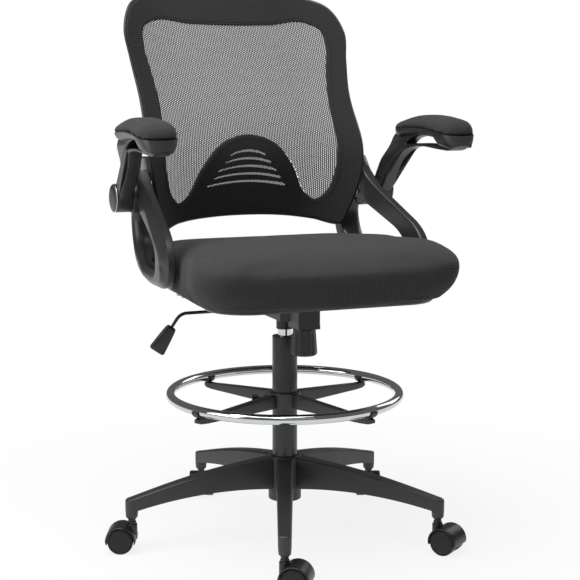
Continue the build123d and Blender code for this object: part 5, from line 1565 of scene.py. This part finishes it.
@dataclass
class Arms(Assembly):
    """Flip-up arms with their pivot caps and pads; side-view points are Y and Z in millimetres."""

    inner: float = 269.0
    rear: float = 196.0
    toe: float = 0.9
    splay: float = 11.0
    shank_in: float = 2.0
    thick: float = 29.0
    outer: tuple = (
        (98.0, 800.0), (74.0, 813.0), (-49.0, 824.0), (-172.0, 804.0), (-166.0, 786.0), (-146.0, 779.0),
        (-98.0, 780.0), (-27.0, 785.0), (32.0, 779.0), (70.0, 755.0), (106.0, 711.0), (146.0, 666.0),
        (174.0, 694.0), (116.0, 764.0),
    )
    lens: tuple = (
        (32.0, 790.5), (18.0, 799.0), (-40.0, 808.5), (-96.0, 799.0), (-110.0, 794.0), (-104.0, 791.0),
        (-80.0, 790.4), (-32.0, 790.5), (4.0, 788.6), (22.0, 787.2), (30.0, 786.4), (35.0, 786.4),
        (37.5, 787.0), (36.5, 788.6),
    )
    edge_round: float = 4.5
    nose_start: float = -120.0
    nose_front: float = -171.0
    nose_swell: float = 4.5
    nose_depth: float = 27.0
    carrier_depth: float = 16.0
    pivot: Span = (160.0, 683.0)
    boss_radius: float = 28.5
    boss_end: float = 301.1
    cap_radius: float = 27.0
    cap_thick: float = 6.0
    top_rear: float = 82.0
    top_front: float = -180.0
    top_heights: tuple[float, float, float] = (811.0, 821.0, 805.0)
    pad_rear: float = 71.0
    pad_front: float = -166.0
    pad_half: float = 37.0
    pad_height: float = 25.5
    outer_round: tuple = (14, 22, 70, 14, 12, 14, 26, 40, 30, 24, 30, 18, 18, 30)
    lens_round: float = 30.0
    shank_above: Span = (706.0, 722.0)
    shank_below: Span = (795.0, 750.0)
    splay_above: Span = (745.0, 793.0)
    nose_run: float = 14.0
    hull_lead: float = 22.0
    hull_run: float = 24.0
    hull_half: Span = (12.0, 20.0)
    hull_lip: float = 2.0
    hull_share: float = 0.97
    held_height: float = 2.4
    filling: Filling = Filling(4.0, 4.0, 3.0, 0.75)

    def build(self) -> None:
        """Make the arm, cap and pad of each side."""
        for side in Side:
            body = f"{side.word}_arm"
            moulding = [self.fork(), self.boss(), self.carrier()]
            pieces = (
                (f"forked_arm_{side.word}", moulding, Finish.BRACKET, f"arm_{side.word}"),
                (f"pivot_cap_{side.word}", [self.cap()], Finish.BRACKET, f"arm_cap_{side.word}"),
                (f"pivot_ring_{side.word}", [self.bright_ring()], Finish.CHROME, None),
                (f"padded_rest_{side.word}", [self.pad()], Finish.PAD, f"arm_pad_{side.word}"),
            )
            for name, patches, finish, node in pieces:
                piece = make_piece(name, on_side(side, patches), 2.0 if finish is Finish.PAD else 0.6)
                if finish is Finish.PAD:
                    self.filling.plump(piece, self.held)
                self.seat_piece(piece, finish, body, *([node] if node else []))

    def held(self, points: np.ndarray) -> np.ndarray:
        """Which of a pad's points, in millimetres, rest on the arm."""
        return points[:, 2] < self.top(points[:, 1]) + self.held_height

    def inner_face(self, y: np.ndarray, z: np.ndarray | float = 800.0) -> np.ndarray:
        """Distance of the inner face from the centre plane: toed out to the front, splayed above the shank.

        Args:
            y: How far back.
            z: How high; above the shank unless given.

        Returns:
            The distances.
        """
        toed = self.inner + (self.rear - y) * np.tan(np.radians(self.toe))
        shank = ramp(z, *self.shank_above) * ramp(z, *self.shank_below)
        return toed + self.splay * ramp(z, *self.splay_above) - self.shank_in * shank

    def top(self, y: np.ndarray) -> np.ndarray:
        """Height of the arched top: the parabola through its rear, middle and front points.

        Args:
            y: How far back.

        Returns:
            The heights.
        """
        rear, middle, front = self.top_heights
        along = (y - (self.top_rear + self.top_front) / 2) / ((self.top_rear - self.top_front) / 2)
        return middle + (rear - front) / 2 * along - (middle - (rear + front) / 2) * along**2

    def fork(self) -> Patch:
        """Shank and two branches: a plate with a lens-shaped hole that widens into the nose under the pad.

        Returns:
            The fork's closed surface.
        """
        line = soften(np.array(self.outer), np.array(self.outer_round), 14)
        hole = soften(np.array(self.lens), self.lens_round, 14)
        y, z, lift = plate(line, hole, self.thick, self.edge_round, self.edge_round)
        nose = ramp(y, self.nose_start, self.nose_start - self.nose_run)
        x = self.inner_face(y, z) + lift + (2 * lift / self.thick - 1) * self.nose_swell * nose
        return stacked(x, y, z, joined=True)

    def carrier(self) -> Patch:
        """The hull under the pad: as wide as the pad on top, narrower below, and deep at the nose.

        Returns:
            The hull's closed surface.
        """
        along = np.linspace(0.0, 1.0, 60)
        y = self.pad_rear + 1.0 + (self.nose_front - self.pad_rear - 1.0) * along
        ends = round_ends(len(along), 0.14, 0.22)
        wide = self.hull_share * self.pad_half * ends * self.widening(along)
        start = self.nose_start + self.hull_lead
        nose = ramp(y, start, start - self.hull_run)
        slim, blunt = self.hull_half
        narrow = np.minimum(wide, slim + (blunt - slim) * nose)
        deep = (self.carrier_depth + (self.nose_depth - self.carrier_depth) * nose) * (0.55 + 0.45 * ends)
        turn = np.linspace(0.0, 0.5 * np.pi, 12)
        half = narrow[:, None] + (wide - narrow)[:, None] * np.cos(turn) ** 0.9
        drop = self.hull_lip + (deep[:, None] - self.hull_lip) * np.sin(turn) ** 1.3
        half = np.concatenate([wide[:, None], half], 1)
        drop = np.concatenate([np.zeros((len(along), 1)), drop], 1)
        middle = (self.inner_face(y) + self.thick / 2)[:, None]
        x = np.concatenate([middle - half, middle + half[:, ::-1]], 1)
        z = self.top(y)[:, None] + 0.6 - np.concatenate([drop, drop[:, ::-1]], 1)
        return stacked(x, y[:, None], z)

    @staticmethod
    def widening(along: np.ndarray) -> np.ndarray:
        """How a pad's width grows from its rear to past its middle."""
        return 0.9 + 0.1 * smoothstep(along / 0.6)

    def axis(self) -> Axes:
        """The flip axis."""
        y, z = self.pivot
        return axes_along((0.0, y * MM, z * MM), (1.0, 0.0, 0.0))

    def boss(self) -> Patch:
        """The round boss about the pivot."""
        profile = block(0.0, self.boss_radius, self.inner, self.boss_end)
        return turned(profile, (0.0, 1.2, 3.0, 0.0), self.axis(), 64, 6)

    def cap(self) -> Patch:
        """A low domed cap.

        Returns:
            The turned surface.
        """
        r, low, high = self.cap_radius, self.boss_end, self.boss_end + self.cap_thick
        rim = low + 0.6 * self.cap_thick
        profile = (0.0, low), (r, low), (r, rim), (0.72 * r, high), (0.0, high)
        return turned(profile, (0.0, 0.6, 2.4, 6.0, 0.0), self.axis(), 64, 7)

    def bright_ring(self) -> Patch:
        """The thin bright ring round the cap's foot, a turned ellipse.

        Returns:
            The turned surface.
        """
        turn = np.linspace(0.0, 2 * np.pi, 16, endpoint=False)
        radius = self.cap_radius + 0.6 + 1.1 * np.cos(turn)
        profile = np.stack([radius, self.boss_end + 1.2 + np.sin(turn)], 1)
        return lathe(profile * MM, self.axis(), 72, closed=True)

    def pad(self) -> Patch:
        """A domed pad on the arm's arch: flat below with a crisp lower edge, and a superellipse above.

        It is slim at the rear, thickest past its middle and blunt in front.

        Returns:
            The pad's closed surface.
        """
        along = np.linspace(0.0, 1.0, 64)
        y = self.pad_rear + (self.pad_front - self.pad_rear) * along
        half = self.pad_half * round_ends(len(along), 0.14, 0.3) * self.widening(along)
        rise = self.pad_height * round_ends(len(along), 0.12, 0.3) * (0.58 + 0.42 * smoothstep(along / 0.55))
        turn = np.linspace(0.0, np.pi, 44)
        across = np.sign(np.cos(turn)) * np.abs(np.cos(turn)) ** 0.5
        up = np.sin(turn) ** 0.9
        under = np.linspace(-1.0, 1.0, 22)[1:-1]
        across = np.concatenate([across, 0.97 * under])
        up = np.concatenate([up, np.zeros_like(under)])
        middle = self.inner_face(y) + self.thick / 2
        x = middle[:, None] + half[:, None] * across
        z = self.top(y)[:, None] + 0.8 + rise[:, None] * up
        return stacked(x, y[:, None], z)


# Back: frame, padded border with its welt, and open mesh


def through(points: np.ndarray, steps: int = 10) -> np.ndarray:
    """A smooth closed line through points, as cubic pieces whose tangents weigh the two chords at each point.

    Args:
        points: The points by row.
        steps: Points on each piece.

    Returns:
        The line's points.
    """
    ahead = np.roll(points, -1, 0) - points
    chord = np.linalg.norm(ahead, axis=1, keepdims=True)
    slope = ahead / chord
    before, slope_before = np.roll(chord, 1, 0), np.roll(slope, 1, 0)
    tangent = (slope_before * chord + slope * before) / (chord + before)
    t = np.linspace(0.0, 1.0, steps, endpoint=False)[None, :, None]
    start, end = points[:, None], np.roll(points, -1, 0)[:, None]
    leave, arrive = (tangent * chord)[:, None], (np.roll(tangent, -1, 0) * chord)[:, None]
    line = (
        (2 * t**3 - 3 * t**2 + 1) * start + (t**3 - 2 * t**2 + t) * leave
        + (3 * t**2 - 2 * t**3) * end + (t**3 - t**2) * arrive
    )
    return line.reshape(-1, points.shape[1])


def natural_spline(knots: tuple, values: tuple, at: np.ndarray) -> np.ndarray:
    """The natural cubic spline through values at knots.

    Args:
        knots: Rising knots.
        values: The value at each knot.
        at: Where to read the spline.

    Returns:
        The spline's values.
    """
    x, y = np.asarray(knots, float), np.asarray(values, float)
    step, rise = np.diff(x), np.diff(y) / np.diff(x)
    matrix = np.eye(len(x))
    inner = np.arange(1, len(x) - 1)
    matrix[inner, inner - 1], matrix[inner, inner + 1] = step[:-1], step[1:]
    matrix[inner, inner] = 2 * (step[:-1] + step[1:])
    bend = np.linalg.solve(matrix, np.concatenate([[0.0], 6 * np.diff(rise), [0.0]]))
    k = np.clip(np.searchsorted(x, at) - 1, 0, len(step) - 1)
    a, b, h = x[k + 1] - at, at - x[k], step[k]
    return (
        (bend[k] * a**3 + bend[k + 1] * b**3) / (6 * h)
        + (y[k] / h - bend[k] * h / 6) * a + (y[k + 1] / h - bend[k + 1] * h / 6) * b
    )


def inside(line: np.ndarray, x: np.ndarray, z: np.ndarray) -> np.ndarray:
    """Whether points lie inside a closed line, by counting the edges that a ray crosses.

    Args:
        line: The closed line.
        x: The points' first coordinate.
        z: Their second coordinate.

    Returns:
        True for each point inside.
    """
    ahead = np.roll(line, -1, 0)
    x, z = x[..., None], z[..., None]
    spans = (line[:, 1] > z) != (ahead[:, 1] > z)
    cross = line[:, 0] + (z - line[:, 1]) * (ahead[:, 0] - line[:, 0]) / (ahead[:, 1] - line[:, 1] + 1e-12)
    return (np.sum(spans & (x < cross), -1) % 2).astype(bool)


@dataclass
class Back(Assembly):
    """The curved back; front-view points are X and Z in millimetres, by their right half from the top down."""

    levels: tuple = (608.0, 690.0, 773.0, 840.0, 930.0, 1020.0, 1104.0)
    centres: tuple = (224.0, 208.0, 197.0, 213.0, 257.0, 299.0, 337.0)
    edges: tuple = (163.0, 143.5, 135.0, 169.0, 218.0, 254.0, 288.0)
    halves: tuple = (196.0, 214.0, 231.0, 233.0, 240.0, 247.0, 246.0)
    window: tuple = (
        (0.0, 1031.0), (90.0, 1033.0), (172.0, 1038.0), (198.0, 1024.0), (204.0, 994.0), (195.0, 930.0),
        (188.0, 870.0), (191.0, 770.0), (184.0, 716.0), (170.0, 678.0), (152.0, 665.0), (136.0, 674.0),
        (98.0, 740.0), (60.0, 785.0), (0.0, 804.0),
    )
    outline: tuple = (
        (0.0, 1100.0), (90.0, 1098.6), (166.0, 1096.5), (221.0, 1074.5), (246.0, 1020.0), (241.0, 960.0),
        (233.5, 890.0), (235.5, 773.0), (226.5, 700.0), (211.0, 645.0), (198.0, 613.0), (150.0, 621.0),
        (95.0, 628.5), (50.0, 632.0), (0.0, 633.0),
    )
    opening: tuple = (
        (0.0, 1035.0), (90.0, 1037.0), (172.0, 1042.0), (201.0, 1027.0), (208.0, 994.0), (199.0, 930.0),
        (193.0, 870.0), (197.0, 770.0), (190.0, 715.0), (175.0, 682.0), (152.0, 659.0), (127.0, 659.0),
        (95.0, 660.0), (50.0, 660.0), (0.0, 660.0),
    )
    flat_share: float = 0.5
    rim: float = 4.0
    cover_thick: float = 7.5
    cover_round: float = 3.2
    frame_front: float = 7.0
    frame_thick: float = 10.0
    frame_round: float = 3.0
    sharp: float = 0.6
    slot_top: float = 773.0
    slot_pitch: float = 16.0
    slot_halves: tuple = (43.0, 55.0, 67.0, 79.0, 91.0)
    slot_height: float = 5.4
    slot_rise: float = 11.0
    mesh_setback: float = 3.4
    cell_wide: float = 3.7
    cell_tall: float = 3.9
    hole_wide: float = 0.465
    hole_tall: float = 0.515
    mesh_flat: Span = (0.42, 0.43)
    lumbar_half: float = 126.0
    lumbar_low: float = 652.0
    lumbar_setback: float = 0.8
    lumbar_thick: float = 8.0
    lumbar_gap: float = 3.0
    cutter_reach: Span = (-20.0, 40.0)
    mesh_half: float = 215.0
    mesh_low: float = 650.0
    mesh_tall: float = 400.0
    mesh_middle: float = 850.0
    mesh_hem: float = 5.0
    slot_hem: float = 4.0
    welt_raise: float = 0.3
    welt_radius: float = 1.5
    seam_offset: float = 7.0

    def build(self) -> None:
        """Make frame, border, lumbar piece, welt and mesh."""
        window, outline, opening = map(self.closed, (self.window, self.outline, self.opening))
        shell = self.slab(outline, opening, self.frame_front, self.frame_thick, self.frame_round)
        edge = outline - self.rim * left_of(outline)
        border = self.slab(edge, window, 0.0, self.cover_thick, self.cover_round)
        for name, patch, finish, node, slotted in (
            ("back_shell", shell, Finish.BRACKET, "back_frame", False),
            ("back_border", border, Finish.BORDER, "back_cover", True),
            ("lumbar_piece", self.lumbar(window), Finish.BRACKET, "lumbar_plate", True),
        ):
            piece = make_piece(name, [patch], self.sharp)
            if slotted:
                self.cut_slots(piece)
            self.seat_piece(piece, finish, "seat", node)
        self.seat_piece(make_piece("window_welt", [self.welt(window)]), Finish.BORDER, "seat")
        self.build_mesh(window)

    def closed(self, half: tuple) -> np.ndarray:
        """The whole smooth line of a half outline that starts and ends on the centre plane."""
        right = np.array(half)
        left = right[-2:0:-1] * (-1.0, 1.0)
        return through(np.concatenate([right, left]), 12)

    def depth(self, x: np.ndarray, z: np.ndarray) -> np.ndarray:
        """Y of the front surface: at each level flat in the middle, with sides that bend forward to the edges.

        Args:
            x: Distances from the centre plane.
            z: Heights.

        Returns:
            The surface's Y, in millimetres.
        """
        rows = (self.centres, self.edges, self.halves)
        centre, edge, half = (natural_spline(self.levels, row, z) for row in rows)
        bent = np.maximum(np.abs(x) / half - self.flat_share, 0.0) / (1 - self.flat_share)
        return centre - (centre - edge) * bent**2

    def slab(self, outer: np.ndarray, inner: np.ndarray, front: float, thick: float, edge: float) -> Patch:
        """A bent plate with a hole that follows the back's front surface.

        Args:
            outer: Its outline.
            inner: Its hole.
            front: How far behind the front surface it starts.
            thick: Its thickness.
            edge: The radius of its edges.

        Returns:
            The closed surface.
        """
        x, z, lift = plate(outer, inner, thick, edge, edge * 0.6, bands=10)
        y = self.depth(x, z) + front + thick - lift
        return stacked(x, y, z, joined=True)

    def lumbar(self, window: np.ndarray) -> Patch:
        """The solid piece behind the slots: a bent plate between the lower border and the arch.

        Each column runs up the front from the lower edge to the arch and down the back.

        Args:
            window: The closed line of the window, whose lower middle is the arch.

        Returns:
            The closed surface.
        """
        below = window[:, 1] < 0.5 * (window[0, 1] + self.slot_top)
        arch = window[(np.abs(window[:, 0]) < self.lumbar_half) & below]
        arch = arch[np.argsort(arch[:, 0])]
        x = np.linspace(-self.lumbar_half, self.lumbar_half, 70)
        high = np.interp(x, arch[:, 0], arch[:, 1]) - self.lumbar_gap
        up = np.linspace(0.0, 1.0, 16)
        z = self.lumbar_low + (high - self.lumbar_low)[:, None] * up
        front = self.depth(x[:, None], z) + self.frame_front + self.lumbar_setback
        rows_z = np.concatenate([z, z[:, ::-1]], 1)
        rows_y = np.concatenate([front, front[:, ::-1] + self.lumbar_thick], 1)
        return stacked(x[:, None], rows_y, rows_z)

    def slot_lines(self, grow: float = 0.0) -> list[np.ndarray]:
        """Front-view lines of the curved slots, each a band along an arc with round ends.

        Args:
            grow: How much wider each band is drawn on every side.

        Returns:
            One closed line for each slot.
        """
        lines = []
        for number, half in enumerate(self.slot_halves):
            x = np.linspace(-half - grow, half + grow, 40)
            level = self.slot_top - number * self.slot_pitch - self.slot_height / 2
            middle = level - self.slot_rise * (x / half) ** 2
            tall = (self.slot_height / 2 + grow) * round_ends(40, 0.03, 0.3)
            upper, lower = np.stack([x, middle + tall], 1), np.stack([x, middle - tall], 1)
            lines.append(np.concatenate([upper, lower[::-1]]))
        return lines

    def cut_slots(self, piece: bpy.types.Object) -> None:
        """Cut the slots through a piece by taking away a band for each.

        Args:
            piece: The piece to cut, in place.
        """
        reach = np.array(self.cutter_reach)[:, None]
        bands = [stacked(x, self.depth(x, z) + reach, z) for x, z in (line.T for line in self.slot_lines())]
        cutter = make_piece("slot_cutter", bands)
        cut = piece.modifiers.new("slots", "BOOLEAN")
        cut.operation, cut.object, cut.solver = "DIFFERENCE", cutter, "EXACT"
        Filling.take(piece)
        piece.data.shade_smooth()
        piece.data.set_sharp_from_angle(angle=self.sharp)
        bpy.data.objects.remove(cutter)

    def welt(self, window: np.ndarray) -> Patch:
        """A thin raised seam sewn into the border just outside the window.

        Args:
            window: The window's closed line.

        Returns:
            The seam's surface.
        """
        x, z = spread(window + self.seam_offset * left_of(window), 320, closed=True).T
        path = np.stack([x, self.depth(x, z) + self.welt_raise, z], 1)
        low, wide = 0.6 * self.welt_radius * MM, self.welt_radius * MM
        return beam(path * MM, (0.0, 1.0, 0.0), low, wide, 2.0, 10, True)

    def build_mesh(self, window: np.ndarray) -> None:
        """The open mesh: staggered cells, each a frame of six faces round a hole, kept where the window is.

        It reaches a little under the border and behind the slots, as the real one is sewn in there.

        Args:
            window: The window's closed line.
        """
        columns = int(2 * self.mesh_half / self.cell_wide)
        rows = int(self.mesh_tall / self.cell_tall)
        column, row = np.meshgrid(np.arange(columns), np.arange(rows), indexing="ij")
        x = (column - columns / 2 + 0.5) * self.cell_wide
        z = self.mesh_low + (row + 0.5 * (column % 2)) * self.cell_tall
        spokes = window - (0.0, self.mesh_middle)
        grown = window + self.mesh_hem * spokes / np.linalg.norm(spokes, axis=1, keepdims=True)
        gaps = np.linalg.norm(np.stack([x, z], -1)[..., None, :] - window[::3], axis=-1)
        keep = inside(grown, x, z) | (np.min(gaps, -1) < self.mesh_hem)
        for line in self.slot_lines(self.slot_hem):
            keep |= inside(line, x, z)
        x, z = x[keep][:, None], z[keep][:, None]
        cell = np.array(((-1.0, -1.0), (1.0, -1.0), (1.0, 0.0), (1.0, 1.0), (-1.0, 1.0), (-1.0, 0.0)))
        size = np.array((self.cell_wide, self.cell_tall))
        corner = np.where(cell[:, 1:] == 0.0, 1.0, (0.7, 1.0))
        hexagon, oval = cell / 2, cell * corner / 2
        around = np.concatenate([hexagon * size, oval * size * (self.hole_wide, self.hole_tall)])
        px, pz = x + around[:, 0], z + around[:, 1]
        py = self.depth(px, pz) + self.mesh_setback
        points = np.stack([px, py, pz], -1).reshape(-1, 3) * MM
        side = np.arange(6)
        ring = np.stack([side, (side + 1) % 6, (side + 1) % 6 + 6, side + 6], 1)
        faces = (ring[None] + 12 * np.arange(len(x))[:, None, None]).reshape(-1, 4)
        piece = make_piece("open_mesh", [Patch(points, faces)], 0.6)
        self.seat_piece(piece, Finish.MESH, "seat", "mesh_panel")


ASSEMBLIES = (StarBase, Casters, Column, FootRing, Mechanism, Seat, Brackets, Arms, Back)


# Stage: floor, light and camera


@dataclass
class Studio:
    """A pale floor, soft lamps and the camera of the photograph.

    Fields give the camera's place, its turn and dip in degrees, and its lens in millimetres.
    """

    camera_place: tuple[float, float, float] = (-1.009, -2.497, 0.9057)
    camera_turn: float = 22.0
    camera_dip: float = 8.49
    lens: float = 85.25
    shift: float = 0.0091
    floor_radius: float = 9.0
    lamps: tuple = (
        ("top_softbox", (-0.7, -0.45, 3.0), (0.0, 0.0, 0.6), 2.2, 96.0),
        ("front_fill", (-0.6, -3.4, 2.4), (0.0, 0.0, 0.55), 2.2, 3.5),
        ("left_strip", (-1.45, -0.25, 1.05), (-0.25, 0.0, 0.7), 0.9, 9.0),
        ("right_strip", (2.2, 0.9, 1.5), (0.25, 0.0, 0.7), 1.2, 8.0),
    )
    world_light: float = 0.14
    shadow_reach: Span = (0.35, 1.2)
    shadow_share: float = 0.14

    def build(self) -> None:
        """Make floor, world, lamps and camera."""
        self.build_floor()
        self.build_world()
        for name, place, target, size, watts in self.lamps:
            self.build_lamp(name, place, target, size, watts)
        self.build_camera()
        bpy.context.scene.view_settings.view_transform = "Standard"

    def build_floor(self) -> None:
        """A wide disc that is white to the camera and in reflections.

        Near the chair part of its paint shows, which keeps the shadow; further out it fades into the
        white surround, so that no horizon shows.
        """
        ring = np.array([(0.0, 0.0), (self.floor_radius, 0.0)])
        floor = make_piece("floor", [lathe(ring, axes_along((0.0, 0.0, -0.0005), (0.0, 0.0, 1.0)), 96)])
        material, tree, place = blank_material("pale_floor")
        rays = add_node(tree, "LightPath").outputs
        seen = add_node(
            tree, "Math", {"operation": "MAXIMUM"}, Input_0=rays["Is Camera Ray"], Input_1=rays["Is Glossy Ray"]
        )
        away = add_node(tree, "VectorMath", {"operation": "LENGTH"}, Input_0=place)
        near, far = self.shadow_reach
        fade = {"From Min": near, "From Max": far, "To Min": 1.0 - self.shadow_share, "To Max": 1.0}
        white = add_node(tree, "MapRange", fade, Value=away.outputs["Value"])
        share = add_node(tree, "Math", {"operation": "MULTIPLY"}, Input_0=seen, Input_1=white)
        paint = add_node(tree, "BsdfDiffuse", {"Color": linear("#e6e6e6")})
        glow = add_node(tree, "Emission", {"Color": linear("#ffffff"), "Strength": 1.0})
        mix = add_node(tree, "MixShader", Fac=share, Input_1=paint, Input_2=glow)
        add_node(tree, "OutputMaterial", Surface=mix)
        floor.data.materials.append(material)

    def build_world(self) -> None:
        """An even world that lights the chair softly and is white to the camera."""
        world = bpy.data.worlds.new("studio")
        world.use_nodes = True
        tree = world.node_tree
        tree.nodes.clear()
        rays = add_node(tree, "LightPath").outputs
        soft, white = (
            add_node(tree, "Background", {"Color": linear("#ffffff"), "Strength": strength})
            for strength in (self.world_light, 1.0)
        )
        mix = add_node(tree, "MixShader", Fac=rays["Is Camera Ray"], Input_1=soft, Input_2=white)
        add_node(tree, "OutputWorld", Surface=mix)
        bpy.context.scene.world = world

    def build_lamp(self, name: str, place: tuple, target: tuple, size: float, watts: float) -> None:
        """A square soft lamp.

        Args:
            name: The lamp's name.
            place: Where it hangs.
            target: The point that it faces.
            size: Its side.
            watts: Its power.
        """
        data = bpy.data.lights.new(name, "AREA")
        data.size = size
        data.energy = watts
        lamp = bpy.data.objects.new(name, data)
        lamp.location = place
        lamp.visible_camera = False
        lamp.rotation_euler = (Vector(target) - Vector(place)).to_track_quat("-Z", "Y").to_euler()
        bpy.context.scene.collection.objects.link(lamp)

    def build_camera(self) -> None:
        """The camera at the photograph's place and angle."""
        data = bpy.data.cameras.new("photo_camera")
        data.sensor_width = 36.0
        data.lens = self.lens
        data.shift_x = self.shift
        camera = bpy.data.objects.new("photo_camera", data)
        camera.location = self.camera_place
        turn, dip = np.radians((self.camera_turn, self.camera_dip))
        look = Vector((np.sin(turn) * np.cos(dip), np.cos(turn) * np.cos(dip), -np.sin(dip)))
        camera.rotation_euler = look.to_track_quat("-Z", "Y").to_euler()
        bpy.context.scene.collection.objects.link(camera)
        bpy.context.scene.camera = camera


def main() -> None:
    """Load the frame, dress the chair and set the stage."""
    logging.basicConfig(level=logging.INFO, format="%(name)s: %(message)s")
    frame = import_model()
    wardrobe = Wardrobe(frame)
    wardrobe.dress_nodes()
    for assembly in ASSEMBLIES:
        assembly(wardrobe).build()
    Studio().build()


if __name__ == "__main__":
    main()
